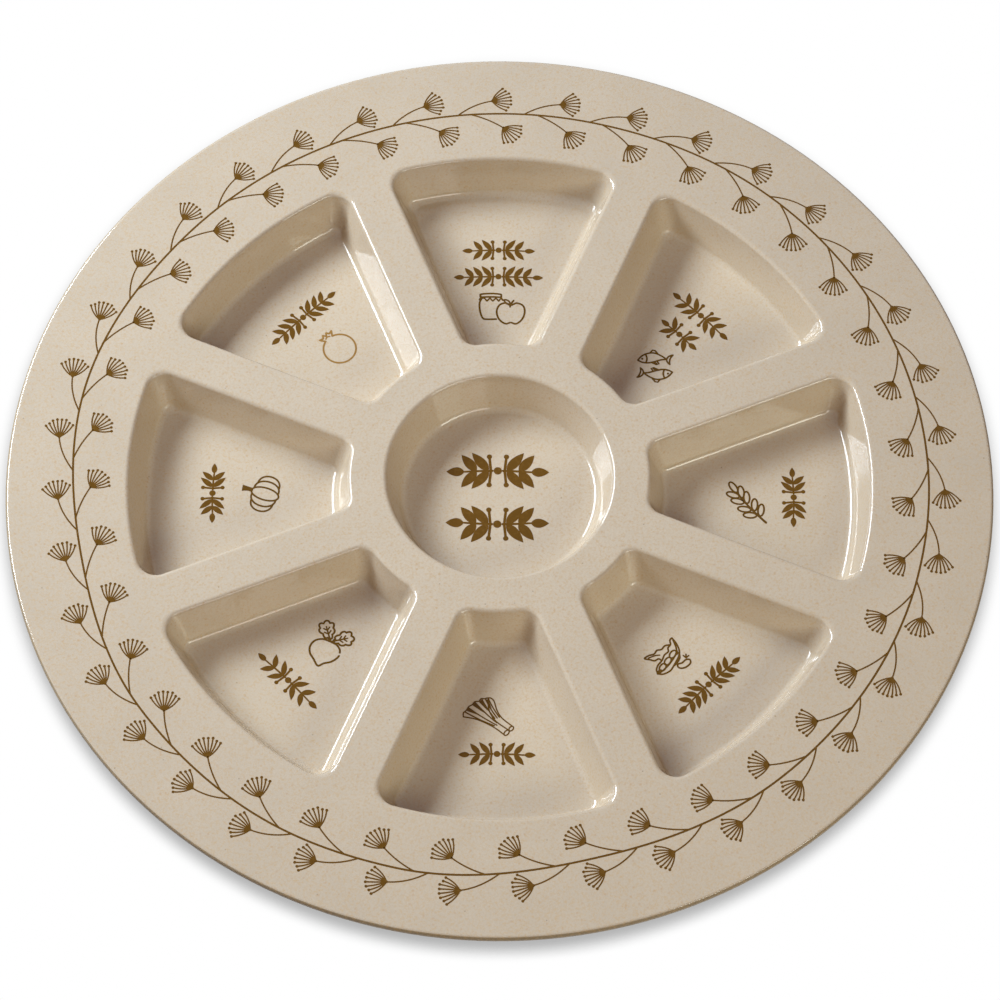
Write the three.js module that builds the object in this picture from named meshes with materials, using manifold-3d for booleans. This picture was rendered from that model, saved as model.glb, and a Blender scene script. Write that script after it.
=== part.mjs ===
// A rosh hashanah plate: one round melamine moulding with eight sector wells round one centre well,
// and a printed foil moulded flush into the rim and into the floor of each well.
// Millimetres, +Z up. The origin is under the plate's middle, on the surface that it stands on, and +Y points
// from the centre well to the apple and honey well.

import * as THREE from 'three';
import { mergeVertices } from 'three/addons/utils/BufferGeometryUtils.js';
import Module from 'manifold-3d';

// The rim and the land, which is the flat face that the wells are sunk into
const RIM_RADIUS = 175;
const RIM_EDGE_THICKNESS = 2.6;
const RIM_EDGE_WIDTH = 7;
const RIM_EDGE_FLAT = 0.2;
const LAND_THICKNESS = 3.2;

// The wells, all of one depth
const WELL_DEPTH = 16;
const WELL_DRAFT = 5.2;
const WELL_TOP_ROUNDING = 1.8;
const WELL_FLOOR_FILLET = 3;
const WALL = 3;
const FLOOR_THICKNESS = 3;

// The sector wells' plan at the land
const SECTOR_WELLS = 8;
const SECTOR_OUTER_RADIUS = 131.7;
const SECTOR_INNER_RADIUS = 53.5;
const RIB_WIDTH = 16.2;
const OUTER_CORNER_RADIUS = 7;
const INNER_CORNER_RADIUS = 6;
const FLOOR_CORNER_RADIUS = 3.4;

// The centre well's plan at the land
const CENTRE_WELL_RADIUS = 40.3;

// The foot: a ring under the centre well and an arc under each sector well
const FOOT_HEIGHT = 1.5;
const FOOT_WIDTH = 3;
const FOOT_MARGIN = 3;

// The printed foils and their seats
const FOIL_THICKNESS = 0.4;
const FOIL_SEAT_GAP = 0.3;
const FLOOR_FOIL_MARGIN = 1.2;
const RIM_FOIL_MARGIN = 8.5;
const RIM_FOIL_WIDTH = 30.5;

// How finely round stretches are divided
const RIM_SEGMENTS = 72;
const WELL_SEGMENTS = 48;
const FOOT_SEGMENTS = 6;
const ROUNDING_STEPS = 2;
const CORNER_STEPS = 3;
const OUTER_ARC_STEPS = 8;
const INNER_ARC_STEPS = 3;

// Heights that follow from the sizes above
const FLOOR_UNDERSIDE = FOOT_HEIGHT;
const FLOOR_TOP = FLOOR_UNDERSIDE + FLOOR_THICKNESS;
const LAND_TOP = FLOOR_TOP + WELL_DEPTH;
const LAND_UNDERSIDE = LAND_TOP - LAND_THICKNESS;

// The rim's edge is rounded above and below a narrow flat
const RIM_ROUNDING = (RIM_EDGE_THICKNESS - RIM_EDGE_FLAT) / 2;

// The draft angle of the walls, and what the wall's thickness measures on a level line
const DRAFT_ANGLE = Math.atan2(WELL_DRAFT, WELL_DEPTH);
const LEVEL_WALL = WALL / Math.cos(DRAFT_ANGLE);

// How far the fillets reach along the floor
const FLOOR_TANGENT = WELL_FLOOR_FILLET * Math.tan((Math.PI / 2 - DRAFT_ANGLE) / 2);
const FLOOR_FOIL_INSET = WELL_DRAFT + FLOOR_TANGENT + FLOOR_FOIL_MARGIN;
const RIM_FOIL_OUTER_RADIUS = RIM_RADIUS - RIM_FOIL_MARGIN;
const RIM_FOIL_INNER_RADIUS = RIM_FOIL_OUTER_RADIUS - RIM_FOIL_WIDTH;

// The outside of the shells: its inset at the bottom, and where the foot's middle line runs on its flat underside
const SHELL_BOTTOM_INSET = WELL_DRAFT - LEVEL_WALL + FLOOR_THICKNESS * WELL_DRAFT / WELL_DEPTH;
const SHELL_BOTTOM_ROUNDING = WELL_FLOOR_FILLET + WALL;
const SHELL_TANGENT = SHELL_BOTTOM_ROUNDING * Math.tan((Math.PI / 2 - DRAFT_ANGLE) / 2);
const FOOT_INSET = SHELL_BOTTOM_INSET + SHELL_TANGENT + FOOT_MARGIN + FOOT_WIDTH / 2;

// What a cutting tool stands proud by, so that it cuts cleanly through a face
const TOOL_OVERRUN = 1;

// The wells counter-clockwise from +X, named after the food that each one holds
const SECTOR_NAMES = ['date', 'fish', 'apple_honey', 'pomegranate', 'gourd', 'beet', 'leek', 'black_eyed_pea'];

const MELAMINE = new THREE.MeshStandardMaterial({ color: 0xcdc1ad, roughness: 0.28, metalness: 0 });
const PRINTED_FOIL = new THREE.MeshStandardMaterial({ color: 0xc3b294, roughness: 0.26, metalness: 0 });

const wasm = await Module();
wasm.setup();

// Turns a closed three.js geometry into a solid, leaving out triangles that have shrunk to a line.
function toSolid(geometry) {
  const bare = new THREE.BufferGeometry();
  bare.setAttribute('position', geometry.getAttribute('position').clone());
  if (geometry.index) bare.setIndex(geometry.index.clone());
  const merged = mergeVertices(bare, 1e-4);
  const index = merged.index.array;
  const triangles = [];
  for (let i = 0; i < index.length; i += 3) {
    const [a, b, c] = [index[i], index[i + 1], index[i + 2]];
    if (a !== b && b !== c && c !== a) triangles.push(a, b, c);
  }
  return new wasm.Manifold(new wasm.Mesh({
    numProp: 3,
    vertProperties: new Float32Array(merged.getAttribute('position').array),
    triVerts: new Uint32Array(triangles),
  }));
}

// Turns a solid back into a geometry that a mesh can show.
function toGeometry(solid) {
  const mesh = solid.getMesh();
  const geometry = new THREE.BufferGeometry();
  const positions = new Float32Array(mesh.numVert * 3);
  for (let i = 0; i < mesh.numVert; i += 1) {
    for (let k = 0; k < 3; k += 1) positions[3 * i + k] = mesh.vertProperties[mesh.numProp * i + k];
  }
  geometry.setAttribute('position', new THREE.BufferAttribute(positions, 3));
  geometry.setIndex(new THREE.BufferAttribute(new Uint32Array(mesh.triVerts), 1));
  geometry.computeVertexNormals();
  return geometry;
}

// A line through corner points [x, z, radius], with an arc of that radius in place of each inner corner.
function roundedLine(corners, steps = ROUNDING_STEPS) {
  const points = [];
  corners.forEach(([x, z, radius = 0], i) => {
    const corner = new THREE.Vector2(x, z);
    if (!radius || i === 0 || i === corners.length - 1) {
      points.push(corner);
      return;
    }
    const before = new THREE.Vector2(...corners[i - 1].slice(0, 2)).sub(corner).normalize();
    const after = new THREE.Vector2(...corners[i + 1].slice(0, 2)).sub(corner).normalize();
    const half = Math.acos(THREE.MathUtils.clamp(before.dot(after), -1, 1)) / 2;
    const centre = before.clone().add(after).normalize().multiplyScalar(radius / Math.sin(half)).add(corner);
    const start = before.multiplyScalar(radius / Math.tan(half)).add(corner).sub(centre);
    const end = after.multiplyScalar(radius / Math.tan(half)).add(corner).sub(centre);
    const turn = Math.atan2(start.cross(end), start.dot(end));
    for (let k = 0; k <= steps; k += 1) {
      points.push(start.clone().rotateAround(new THREE.Vector2(), turn * k / steps).add(centre));
    }
  });
  return points;
}

// Turns a profile of [radius, z] points, listed from the bottom of the outside up, round the Z axis.
function turned(profile, segments) {
  const geometry = new THREE.LatheGeometry(profile, segments);
  geometry.rotateX(Math.PI / 2);
  return toSolid(geometry);
}

// A sector well's outline in plan, counter-clockwise round the +X axis. The inset moves its sides in, and
// the outline always has the same number of points, so that outlines at different heights can be joined.
function sectorOutline(inset, outerCorner, innerCorner) {
  const rib = RIB_WIDTH / 2 + inset;
  const outer = SECTOR_OUTER_RADIUS - inset;
  const inner = SECTOR_INNER_RADIUS + inset;
  const ribAngle = -Math.PI / SECTOR_WELLS;

  // Corner circles, placed along and across the rib's centre line
  const outerAcross = rib + outerCorner;
  const outerAlong = Math.sqrt((outer - outerCorner) ** 2 - outerAcross ** 2);
  const outerTouch = Math.atan2(outerAcross, outerAlong);
  const innerAcross = rib + innerCorner;
  const innerAlong = Math.sqrt((inner + innerCorner) ** 2 - innerAcross ** 2);
  const innerTouch = Math.atan2(innerAcross, innerAlong);

  const lower = [];
  const arc = (x, y, radius, from, to, steps) => {
    for (let k = 0; k <= steps; k += 1) {
      const angle = from + (to - from) * k / steps;
      lower.push(new THREE.Vector2(x + radius * Math.cos(angle), y + radius * Math.sin(angle)));
    }
  };
  arc(innerAlong, innerAcross, innerCorner, Math.PI + innerTouch, 1.5 * Math.PI, CORNER_STEPS);
  arc(outerAlong, outerAcross, outerCorner, -Math.PI / 2, outerTouch, CORNER_STEPS);
  lower.forEach((point) => point.rotateAround(new THREE.Vector2(), ribAngle));

  const upper = lower.map((point) => new THREE.Vector2(point.x, -point.y)).reverse();
  const along = (radius, from, to, steps) => Array.from({ length: steps - 1 }, (_, k) => {
    const angle = from + (to - from) * (k + 1) / steps;
    return new THREE.Vector2(radius * Math.cos(angle), radius * Math.sin(angle));
  });
  const outerHalf = -ribAngle - outerTouch;
  const innerHalf = -ribAngle - innerTouch;
  return [
    ...lower,
    ...along(outer, -outerHalf, outerHalf, OUTER_ARC_STEPS),
    ...upper,
    ...along(inner, innerHalf, -innerHalf, INNER_ARC_STEPS),
  ];
}

// The outline of a sector well's wall or floor at an inset that the well itself has. Its corners grow tighter
// from the land down to the floor.
function wellOutline(inset) {
  const share = THREE.MathUtils.clamp(inset / WELL_DRAFT, 0, 1);
  return sectorOutline(
    inset,
    THREE.MathUtils.lerp(OUTER_CORNER_RADIUS, FLOOR_CORNER_RADIUS, share),
    THREE.MathUtils.lerp(INNER_CORNER_RADIUS, FLOOR_CORNER_RADIUS, share),
  );
}

// The outline of the moulding's outside round a sector well, a wall's thickness out from the well's own.
function shellOutline(inset) {
  const share = THREE.MathUtils.clamp((inset + LEVEL_WALL) / WELL_DRAFT, 0, 1);
  return sectorOutline(
    inset,
    THREE.MathUtils.lerp(OUTER_CORNER_RADIUS, FLOOR_CORNER_RADIUS, share) + WALL,
    THREE.MathUtils.lerp(INNER_CORNER_RADIUS, FLOOR_CORNER_RADIUS, share) + WALL,
  );
}

// Joins outlines at rising heights into one closed solid.
function lofted(levels) {
  const count = levels[0].outline.length;
  const positions = levels.flatMap(({ outline, z }) => outline.flatMap((point) => [point.x, point.y, z]));
  const index = [];
  for (let level = 0; level < levels.length - 1; level += 1) {
    for (let i = 0; i < count; i += 1) {
      const a = level * count + i;
      const b = level * count + (i + 1) % count;
      index.push(a, b, b + count, a, b + count, a + count);
    }
  }
  const top = (levels.length - 1) * count;
  THREE.ShapeUtils.triangulateShape(levels[0].outline, []).forEach(([a, b, c]) => index.push(a, c, b));
  THREE.ShapeUtils.triangulateShape(levels.at(-1).outline, []).forEach(([a, b, c]) => {
    index.push(top + a, top + b, top + c);
  });
  const geometry = new THREE.BufferGeometry();
  geometry.setAttribute('position', new THREE.Float32BufferAttribute(positions, 3));
  geometry.setIndex(index);
  return toSolid(geometry);
}

// A flat slab with one outline from the height z0 to z1.
function slab(outline, z0, z1) {
  return lofted([{ outline, z: z0 }, { outline, z: z1 }]);
}

// The same solid turned into the place of each sector well.
function roundTheWells(solid) {
  return Array.from({ length: SECTOR_WELLS }, (_, well) => solid.rotate([0, 0, 360 * well / SECTOR_WELLS]));
}

// The wells' inner side as [inset, z] points from the land down to the floor, the same in every well.
function wellProfile() {
  return roundedLine([
    [-2 * WELL_TOP_ROUNDING, LAND_TOP],
    [0, LAND_TOP, WELL_TOP_ROUNDING],
    [WELL_DRAFT, FLOOR_TOP, WELL_FLOOR_FILLET],
    [WELL_DRAFT + 2 * WELL_FLOOR_FILLET, FLOOR_TOP],
  ]).slice(1, -1);
}

// The outside of a well's shell as [inset, z] points from the land's underside down to the floor's.
function shellProfile() {
  const draftPerHeight = WELL_DRAFT / WELL_DEPTH;
  const topInset = -LEVEL_WALL + (LAND_THICKNESS / 2) * draftPerHeight;
  return roundedLine([
    [topInset, LAND_TOP - LAND_THICKNESS / 2],
    [SHELL_BOTTOM_INSET, FLOOR_UNDERSIDE, SHELL_BOTTOM_ROUNDING],
    [SHELL_BOTTOM_INSET + 2 * SHELL_BOTTOM_ROUNDING, FLOOR_UNDERSIDE],
  ]).slice(0, -1);
}

// The rim and the land as one flat disc that thins towards a rounded edge.
function landDisc() {
  const edgeUnderside = LAND_TOP - RIM_EDGE_THICKNESS;
  const edgeStart = RIM_RADIUS - RIM_EDGE_WIDTH;
  return turned([
    new THREE.Vector2(0, LAND_UNDERSIDE),
    ...roundedLine([
      [edgeStart - RIM_EDGE_THICKNESS, LAND_UNDERSIDE],
      [edgeStart, edgeUnderside],
      [RIM_RADIUS, edgeUnderside, RIM_ROUNDING],
      [RIM_RADIUS, LAND_TOP, RIM_ROUNDING],
      [edgeStart, LAND_TOP],
    ]).slice(0, -1),
    new THREE.Vector2(0, LAND_TOP),
  ], RIM_SEGMENTS);
}

// Turns a well's [inset, z] profile, listed from the floor up, into the centre well's solid.
function centreTurned(profile) {
  const points = profile.map(({ x, y }) => new THREE.Vector2(CENTRE_WELL_RADIUS - x, y));
  return turned([
    new THREE.Vector2(0, points[0].y),
    ...points,
    new THREE.Vector2(0, points.at(-1).y),
  ], WELL_SEGMENTS);
}

// A flat ring between two radii, from the height z0 to z1.
function flatRing(inner, outer, z0, z1, segments) {
  return turned([
    new THREE.Vector2(inner, z0),
    new THREE.Vector2(outer, z0),
    new THREE.Vector2(outer, z1),
    new THREE.Vector2(inner, z1),
    new THREE.Vector2(inner, z0),
  ], segments);
}

// The ring of the foot under the centre well, sunk into the floor above it.
function centreFoot() {
  const middle = CENTRE_WELL_RADIUS - FOOT_INSET;
  const top = FLOOR_UNDERSIDE + FLOOR_THICKNESS / 2;
  return flatRing(middle - FOOT_WIDTH / 2, middle + FOOT_WIDTH / 2, 0, top, WELL_SEGMENTS);
}

// One arc of the foot, under the sector well on the +X axis and sunk into the floor above it.
function outerFoot() {
  const middle = SECTOR_OUTER_RADIUS - FOOT_INSET;
  const end = FOOT_WIDTH / 2;
  const clearOfRib = RIB_WIDTH / 2 + FOOT_INSET + FLOOR_CORNER_RADIUS;
  const half = Math.PI / SECTOR_WELLS - Math.asin(clearOfRib / middle);
  const [endX, endY] = [middle * Math.cos(half), middle * Math.sin(half)];
  const shape = new THREE.Shape();
  shape.absarc(0, 0, middle + end, -half, half, false);
  shape.absarc(endX, endY, end, half, half + Math.PI);
  shape.absarc(0, 0, middle - end, half, -half, true);
  shape.absarc(endX, -endY, end, Math.PI - half, 2 * Math.PI - half);
  return toSolid(new THREE.ExtrudeGeometry(shape, {
    depth: FLOOR_UNDERSIDE + FLOOR_THICKNESS / 2,
    bevelEnabled: false,
    curveSegments: FOOT_SEGMENTS,
  }));
}

// The whole moulding: the land with the nine wells and their shells, the foot and the shallow seats of
// the foils.
function plateMoulding() {
  const shellLine = shellProfile().reverse();
  const cavityLine = wellProfile().reverse();
  const mouth = cavityLine.at(-1).clone();
  mouth.y += TOOL_OVERRUN;
  cavityLine.push(mouth);
  const floorSeatInset = FLOOR_FOIL_INSET - FOIL_SEAT_GAP;
  const seatFloor = FLOOR_TOP - FOIL_THICKNESS;
  const seatMouth = FLOOR_TOP + TOOL_OVERRUN;
  const added = [
    centreTurned(shellLine),
    centreFoot(),
    ...roundTheWells(lofted(shellLine.map(({ x, y }) => ({ outline: shellOutline(x), z: y })))),
    ...roundTheWells(outerFoot()),
  ];
  const cut = [
    centreTurned(cavityLine),
    centreTurned([new THREE.Vector2(floorSeatInset, seatFloor), new THREE.Vector2(floorSeatInset, seatMouth)]),
    ...roundTheWells(lofted(cavityLine.map(({ x, y }) => ({ outline: wellOutline(x), z: y })))),
    ...roundTheWells(slab(wellOutline(floorSeatInset), seatFloor, seatMouth)),
    flatRing(RIM_FOIL_INNER_RADIUS - FOIL_SEAT_GAP, RIM_FOIL_OUTER_RADIUS + FOIL_SEAT_GAP,
      LAND_TOP - FOIL_THICKNESS, LAND_TOP + TOOL_OVERRUN, RIM_SEGMENTS),
  ];
  const whole = added.reduce((moulding, solid) => moulding.add(solid), landDisc());
  return cut.reduce((moulding, solid) => moulding.subtract(solid), whole);
}

// Names a geometry and gives it its material.
function piece(name, solid, material) {
  const mesh = new THREE.Mesh(toGeometry(solid), material);
  mesh.name = name;
  return mesh;
}

const plate = new THREE.Group();
plate.add(piece('plate_moulding', plateMoulding(), MELAMINE));
plate.add(piece(
  'rim_foil',
  flatRing(RIM_FOIL_INNER_RADIUS, RIM_FOIL_OUTER_RADIUS, LAND_TOP - FOIL_THICKNESS, LAND_TOP, RIM_SEGMENTS),
  PRINTED_FOIL,
));
plate.add(piece(
  'centre_foil',
  centreTurned([
    new THREE.Vector2(FLOOR_FOIL_INSET, FLOOR_TOP - FOIL_THICKNESS),
    new THREE.Vector2(FLOOR_FOIL_INSET, FLOOR_TOP),
  ]),
  PRINTED_FOIL,
));

const floorFoil = slab(wellOutline(FLOOR_FOIL_INSET), FLOOR_TOP - FOIL_THICKNESS, FLOOR_TOP);
SECTOR_NAMES.forEach((name, well) => {
  const foil = piece(`${name}_foil`, floorFoil, PRINTED_FOIL);
  foil.rotation.z = 2 * Math.PI * well / SECTOR_WELLS;
  plate.add(foil);
});

export default plate;
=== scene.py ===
"""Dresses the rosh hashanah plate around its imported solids.

The plate is one glossy moulding of speckled beige melamine with eight sector wells round a centre well.
A golden-brown print lies under its glaze: a vine round the rim, a line picture of a food on each sector
well's floor and leaf ornaments beside the pictures and in the centre well.

Sizes are in millimetres, in the frame of the solids: +Z up, the origin under the plate's middle on the
surface that it stands on, and +Y towards the apple and honey well. Meshes are turned into metres when they
are made.
"""

import logging
import math
from dataclasses import dataclass, field
from enum import Enum
from typing import Callable, Sequence

import bpy
from mathutils import Matrix, Vector
from mathutils.geometry import delaunay_2d_cdt


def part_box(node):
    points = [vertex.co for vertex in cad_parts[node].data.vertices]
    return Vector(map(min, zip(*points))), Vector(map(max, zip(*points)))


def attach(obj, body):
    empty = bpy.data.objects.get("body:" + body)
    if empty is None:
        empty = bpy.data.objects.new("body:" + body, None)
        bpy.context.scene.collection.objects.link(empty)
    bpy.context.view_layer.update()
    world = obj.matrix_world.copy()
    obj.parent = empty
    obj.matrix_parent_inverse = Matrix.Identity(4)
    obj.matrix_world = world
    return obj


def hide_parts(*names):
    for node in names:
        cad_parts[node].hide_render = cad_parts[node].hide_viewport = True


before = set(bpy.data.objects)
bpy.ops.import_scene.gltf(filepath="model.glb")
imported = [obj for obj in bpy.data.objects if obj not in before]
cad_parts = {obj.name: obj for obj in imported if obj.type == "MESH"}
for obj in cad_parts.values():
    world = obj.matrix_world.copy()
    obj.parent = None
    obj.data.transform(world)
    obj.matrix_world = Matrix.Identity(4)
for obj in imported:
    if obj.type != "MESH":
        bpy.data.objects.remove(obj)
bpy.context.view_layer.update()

MM = 0.001
FULL_TURN = 2 * math.pi

# How level faces are filled: by the triangles of their hull, with points this near in mm counted as one
HULL_TRIANGLES = 0
SAME_POINT = 1e-7

Point = tuple[float, float]
Colour = tuple[float, float, float]
ScreenColour = tuple[int, int, int]
Socket = bpy.types.NodeSocket

log = logging.getLogger("plate")


class Food(Enum):
    """The foods of the sector wells, in order counter-clockwise from +X."""

    DATE = "date"
    FISH = "fish"
    APPLE_HONEY = "apple_honey"
    POMEGRANATE = "pomegranate"
    GOURD = "gourd"
    BEET = "beet"
    LEEK = "leek"
    BLACK_EYED_PEA = "black_eyed_pea"


def linear(colour: ScreenColour) -> Colour:
    """Turns a display colour of three values from 0 to 255 into the linear values that shaders take.

    Args:
        colour: Red, green and blue as they are seen on a screen.

    Returns:
        The same colour in linear values.
    """
    return tuple((c / 255 / 12.92) if c <= 10 else ((c / 255 + 0.055) / 1.055) ** 2.4 for c in colour)


def polar(radius: float, angle: float) -> Point:
    """Gives the point at a radius and an angle in radians from +X.

    Args:
        radius: Distance from the origin.
        angle: Angle counter-clockwise from +X, in radians.

    Returns:
        The point's x and y.
    """
    return (radius * math.cos(angle), radius * math.sin(angle))


def plus(point: Point, step: Point) -> Point:
    """Gives the point that lies a step away from another one.

    Args:
        point: The point to start from.
        step: The step's x and y.

    Returns:
        The point a step away.
    """
    return (point[0] + step[0], point[1] + step[1])


def turned_by(point: Point, angle: float) -> Point:
    """Turns a point counter-clockwise about the origin.

    Args:
        point: The point.
        angle: The turn in radians.

    Returns:
        The turned point.
    """
    return (
        point[0] * math.cos(angle) - point[1] * math.sin(angle),
        point[0] * math.sin(angle) + point[1] * math.cos(angle),
    )


def arc(centre: Point, radius: float, start: float, end: float, steps: int) -> list[Point]:
    """Gives points along an arc, both ends included.

    Args:
        centre: The arc's centre.
        radius: Its radius.
        start: The angle of its first point in degrees.
        end: The angle of its last point in degrees.
        steps: How many steps it is divided into.

    Returns:
        The points in order.
    """
    angles = [math.radians(start + (end - start) * k / steps) for k in range(steps + 1)]
    return [plus(centre, polar(radius, angle)) for angle in angles]


def oval(
    centre: Point, half_width: float, half_height: float, tilt: float = 0.0, steps: int = 32
) -> list[Point]:
    """Gives the outline of an ellipse.

    Args:
        centre: Its centre.
        half_width: Half its size along its own x axis.
        half_height: Half its size along its own y axis.
        tilt: How far it is turned counter-clockwise, in degrees.
        steps: How many points it has.

    Returns:
        The outline, without a repeated last point.
    """
    points = []
    for k in range(steps):
        angle = FULL_TURN * k / steps
        level = (half_width * math.cos(angle), half_height * math.sin(angle))
        points.append(plus(centre, turned_by(level, math.radians(tilt))))
    return points


def bezier(points: Sequence[Point], steps: int = 12) -> list[Point]:
    """Gives points along a Bezier curve of any degree.

    Args:
        points: The curve's end points and control points in order.
        steps: How many steps it is divided into.

    Returns:
        The points in order, both ends included.
    """
    result = []
    for k in range(steps + 1):
        t = k / steps
        level = list(points)
        while len(level) > 1:
            level = [(a[0] + (b[0] - a[0]) * t, a[1] + (b[1] - a[1]) * t) for a, b in zip(level, level[1:])]
        result.append(level[0])
    return result


def smooth(points: Sequence[Point], steps: int = 6, closed: bool = False) -> list[Point]:
    """Gives a smooth curve through all the given points, as a Catmull-Rom spline.

    Args:
        points: The points that the curve passes.
        steps: How many steps lie between two of them.
        closed: Whether the curve returns to its first point.

    Returns:
        The curve's points, without a repeated last point where it is closed.
    """
    count = len(points)
    spans = count if closed else count - 1
    result = []
    for i in range(spans):
        numbers = range(i - 1, i + 3)
        near = [points[number % count if closed else min(max(number, 0), count - 1)] for number in numbers]
        for k in range(steps):
            t = k / steps
            weights = (
                -0.5 * t + t * t - 0.5 * t**3,
                1 - 2.5 * t * t + 1.5 * t**3,
                0.5 * t + 2 * t * t - 1.5 * t**3,
                -0.5 * t * t + 0.5 * t**3,
            )
            result.append(tuple(sum(w * p[axis] for w, p in zip(weights, near)) for axis in (0, 1)))
    if not closed:
        result.append(tuple(points[-1]))
    return result


def rounded_line(corners: Sequence[tuple[float, float, float]], steps: int) -> list[Point]:
    """Gives a line through corner points with an arc in place of each corner that has a radius.

    Args:
        corners: Each corner as its two coordinates and the radius of its rounding.
        steps: How many steps each rounding is divided into.

    Returns:
        The line's points in order.
    """
    points: list[Point] = []
    for i, (x, z, radius) in enumerate(corners):
        corner = Vector((x, z))
        if not radius:
            points.append((x, z))
            continue
        before = (Vector(corners[i - 1][:2]) - corner).normalized()
        after = (Vector(corners[i + 1][:2]) - corner).normalized()
        half = before.angle(after) / 2
        centre = corner + (before + after).normalized() * radius / math.sin(half)
        start = corner + before * radius / math.tan(half) - centre
        end = corner + after * radius / math.tan(half) - centre
        turn = math.atan2(start.x * end.y - start.y * end.x, start.dot(end))
        spokes = [turned_by(tuple(start), turn * k / steps) for k in range(steps + 1)]
        points.extend(plus(tuple(centre), spoke) for spoke in spokes)
    return points


class Surface:
    """Collects the points and faces of one closed mesh, in millimetres."""

    def __init__(self) -> None:
        """Starts an empty surface."""
        self.points: list[tuple[float, float, float]] = []
        self.faces: list[tuple[int, ...]] = []

    def ring(self, outline: Sequence[Point], z: float) -> list[int]:
        """Adds an outline at one height.

        Args:
            outline: The outline's points in plan.
            z: Its height.

        Returns:
            The numbers of the added points.
        """
        first = len(self.points)
        self.points.extend((x, y, z) for x, y in outline)
        return list(range(first, len(self.points)))

    def bridge(self, low: Sequence[int], high: Sequence[int]) -> None:
        """Joins two rings of as many points. Faces look out where the rings run counter-clockwise and rise.

        Args:
            low: The first ring.
            high: The second ring.
        """
        count = len(low)
        for i in range(count):
            j = (i + 1) % count
            self.faces.append((low[i], low[j], high[j], high[i]))

    def loft(self, outlines: Sequence[tuple[Sequence[Point], float]]) -> list[list[int]]:
        """Adds a ring for each outline and joins each to the next.

        Args:
            outlines: Each outline with its height.

        Returns:
            The rings.
        """
        rings = [self.ring(outline, z) for outline, z in outlines]
        for low, high in zip(rings, rings[1:]):
            self.bridge(low, high)
        return rings

    def face_with_holes(self, outer: Sequence[int], holes: Sequence[Sequence[int]], up: bool) -> None:
        """Fills the level face inside one ring and outside others.

        Args:
            outer: The ring round the face.
            holes: The rings round its holes.
            up: Whether the face looks up.
        """
        rings = [list(outer)] + [list(hole) for hole in holes]
        numbers = [number for ring in rings for number in ring]
        flat = [Vector(self.points[number][:2]) for number in numbers]
        edges = []
        first = 0
        for ring in rings:
            edges.extend((first + i, first + (i + 1) % len(ring)) for i in range(len(ring)))
            first += len(ring)
        _, _, triangles, origins, _, _ = delaunay_2d_cdt(flat, edges, [], HULL_TRIANGLES, SAME_POINT)
        hole_outlines = [[self.points[number][:2] for number in hole] for hole in holes]
        outer_outline = [self.points[number][:2] for number in outer]
        for triangle in triangles:
            corners = [origins[i][0] for i in triangle]
            middle = sum((flat[i] for i in corners), Vector((0, 0))) / 3
            if not is_inside(middle, outer_outline):
                continue
            if any(is_inside(middle, hole) for hole in hole_outlines):
                continue
            a, b, c = (flat[i] for i in corners)
            counter_clockwise = (b - a).cross(c - a) > 0
            named = [numbers[i] for i in corners]
            self.faces.append(tuple(named if counter_clockwise == up else reversed(named)))

    def build(self, name: str, material: bpy.types.Material, smooth_faces: bool) -> bpy.types.Object:
        """Makes the object, in metres.

        Args:
            name: The object's name.
            material: Its material.
            smooth_faces: Whether its faces are shaded smooth.

        Returns:
            The object, linked to the scene.
        """
        mesh = bpy.data.meshes.new(name)
        mesh.from_pydata([(x * MM, y * MM, z * MM) for x, y, z in self.points], [], self.faces)
        mesh.materials.append(material)
        mesh.polygons.foreach_set("use_smooth", [smooth_faces] * len(mesh.polygons))
        mesh.update()
        piece = bpy.data.objects.new(name, mesh)
        bpy.context.scene.collection.objects.link(piece)
        return piece


def is_inside(point: Vector, outline: Sequence[Point]) -> bool:
    """Tells whether a point lies inside an outline.

    Args:
        point: The point in plan.
        outline: The outline's points.

    Returns:
        True where it is inside.
    """
    inside = False
    x, y = point
    for (x0, y0), (x1, y1) in zip(outline, list(outline[1:]) + [outline[0]]):
        if (y0 > y) != (y1 > y) and x < (x1 - x0) * (y - y0) / (y1 - y0) + x0:
            inside = not inside
    return inside


@dataclass(frozen=True)
class Blots:
    """A soft noise pattern.

    Its size is that of its blots in millimetres, its detail is how many finer layers it has, and its
    unevenness is how strong they are. Where the noise goes over the noise range, the result goes over the
    result range.
    """

    size: float
    detail: float
    noise: Point
    result: Point
    unevenness: float = 0.5


@dataclass(frozen=True)
class Specks:
    """Round specks at random places.

    Spacing is the mean distance between places where a speck may lie and softness the width of a speck's
    blurred edge, both in millimetres like the radius. Share says how many of the places have a speck.
    """

    spacing: float
    radius: float
    softness: float
    share: float
    strength: float


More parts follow.
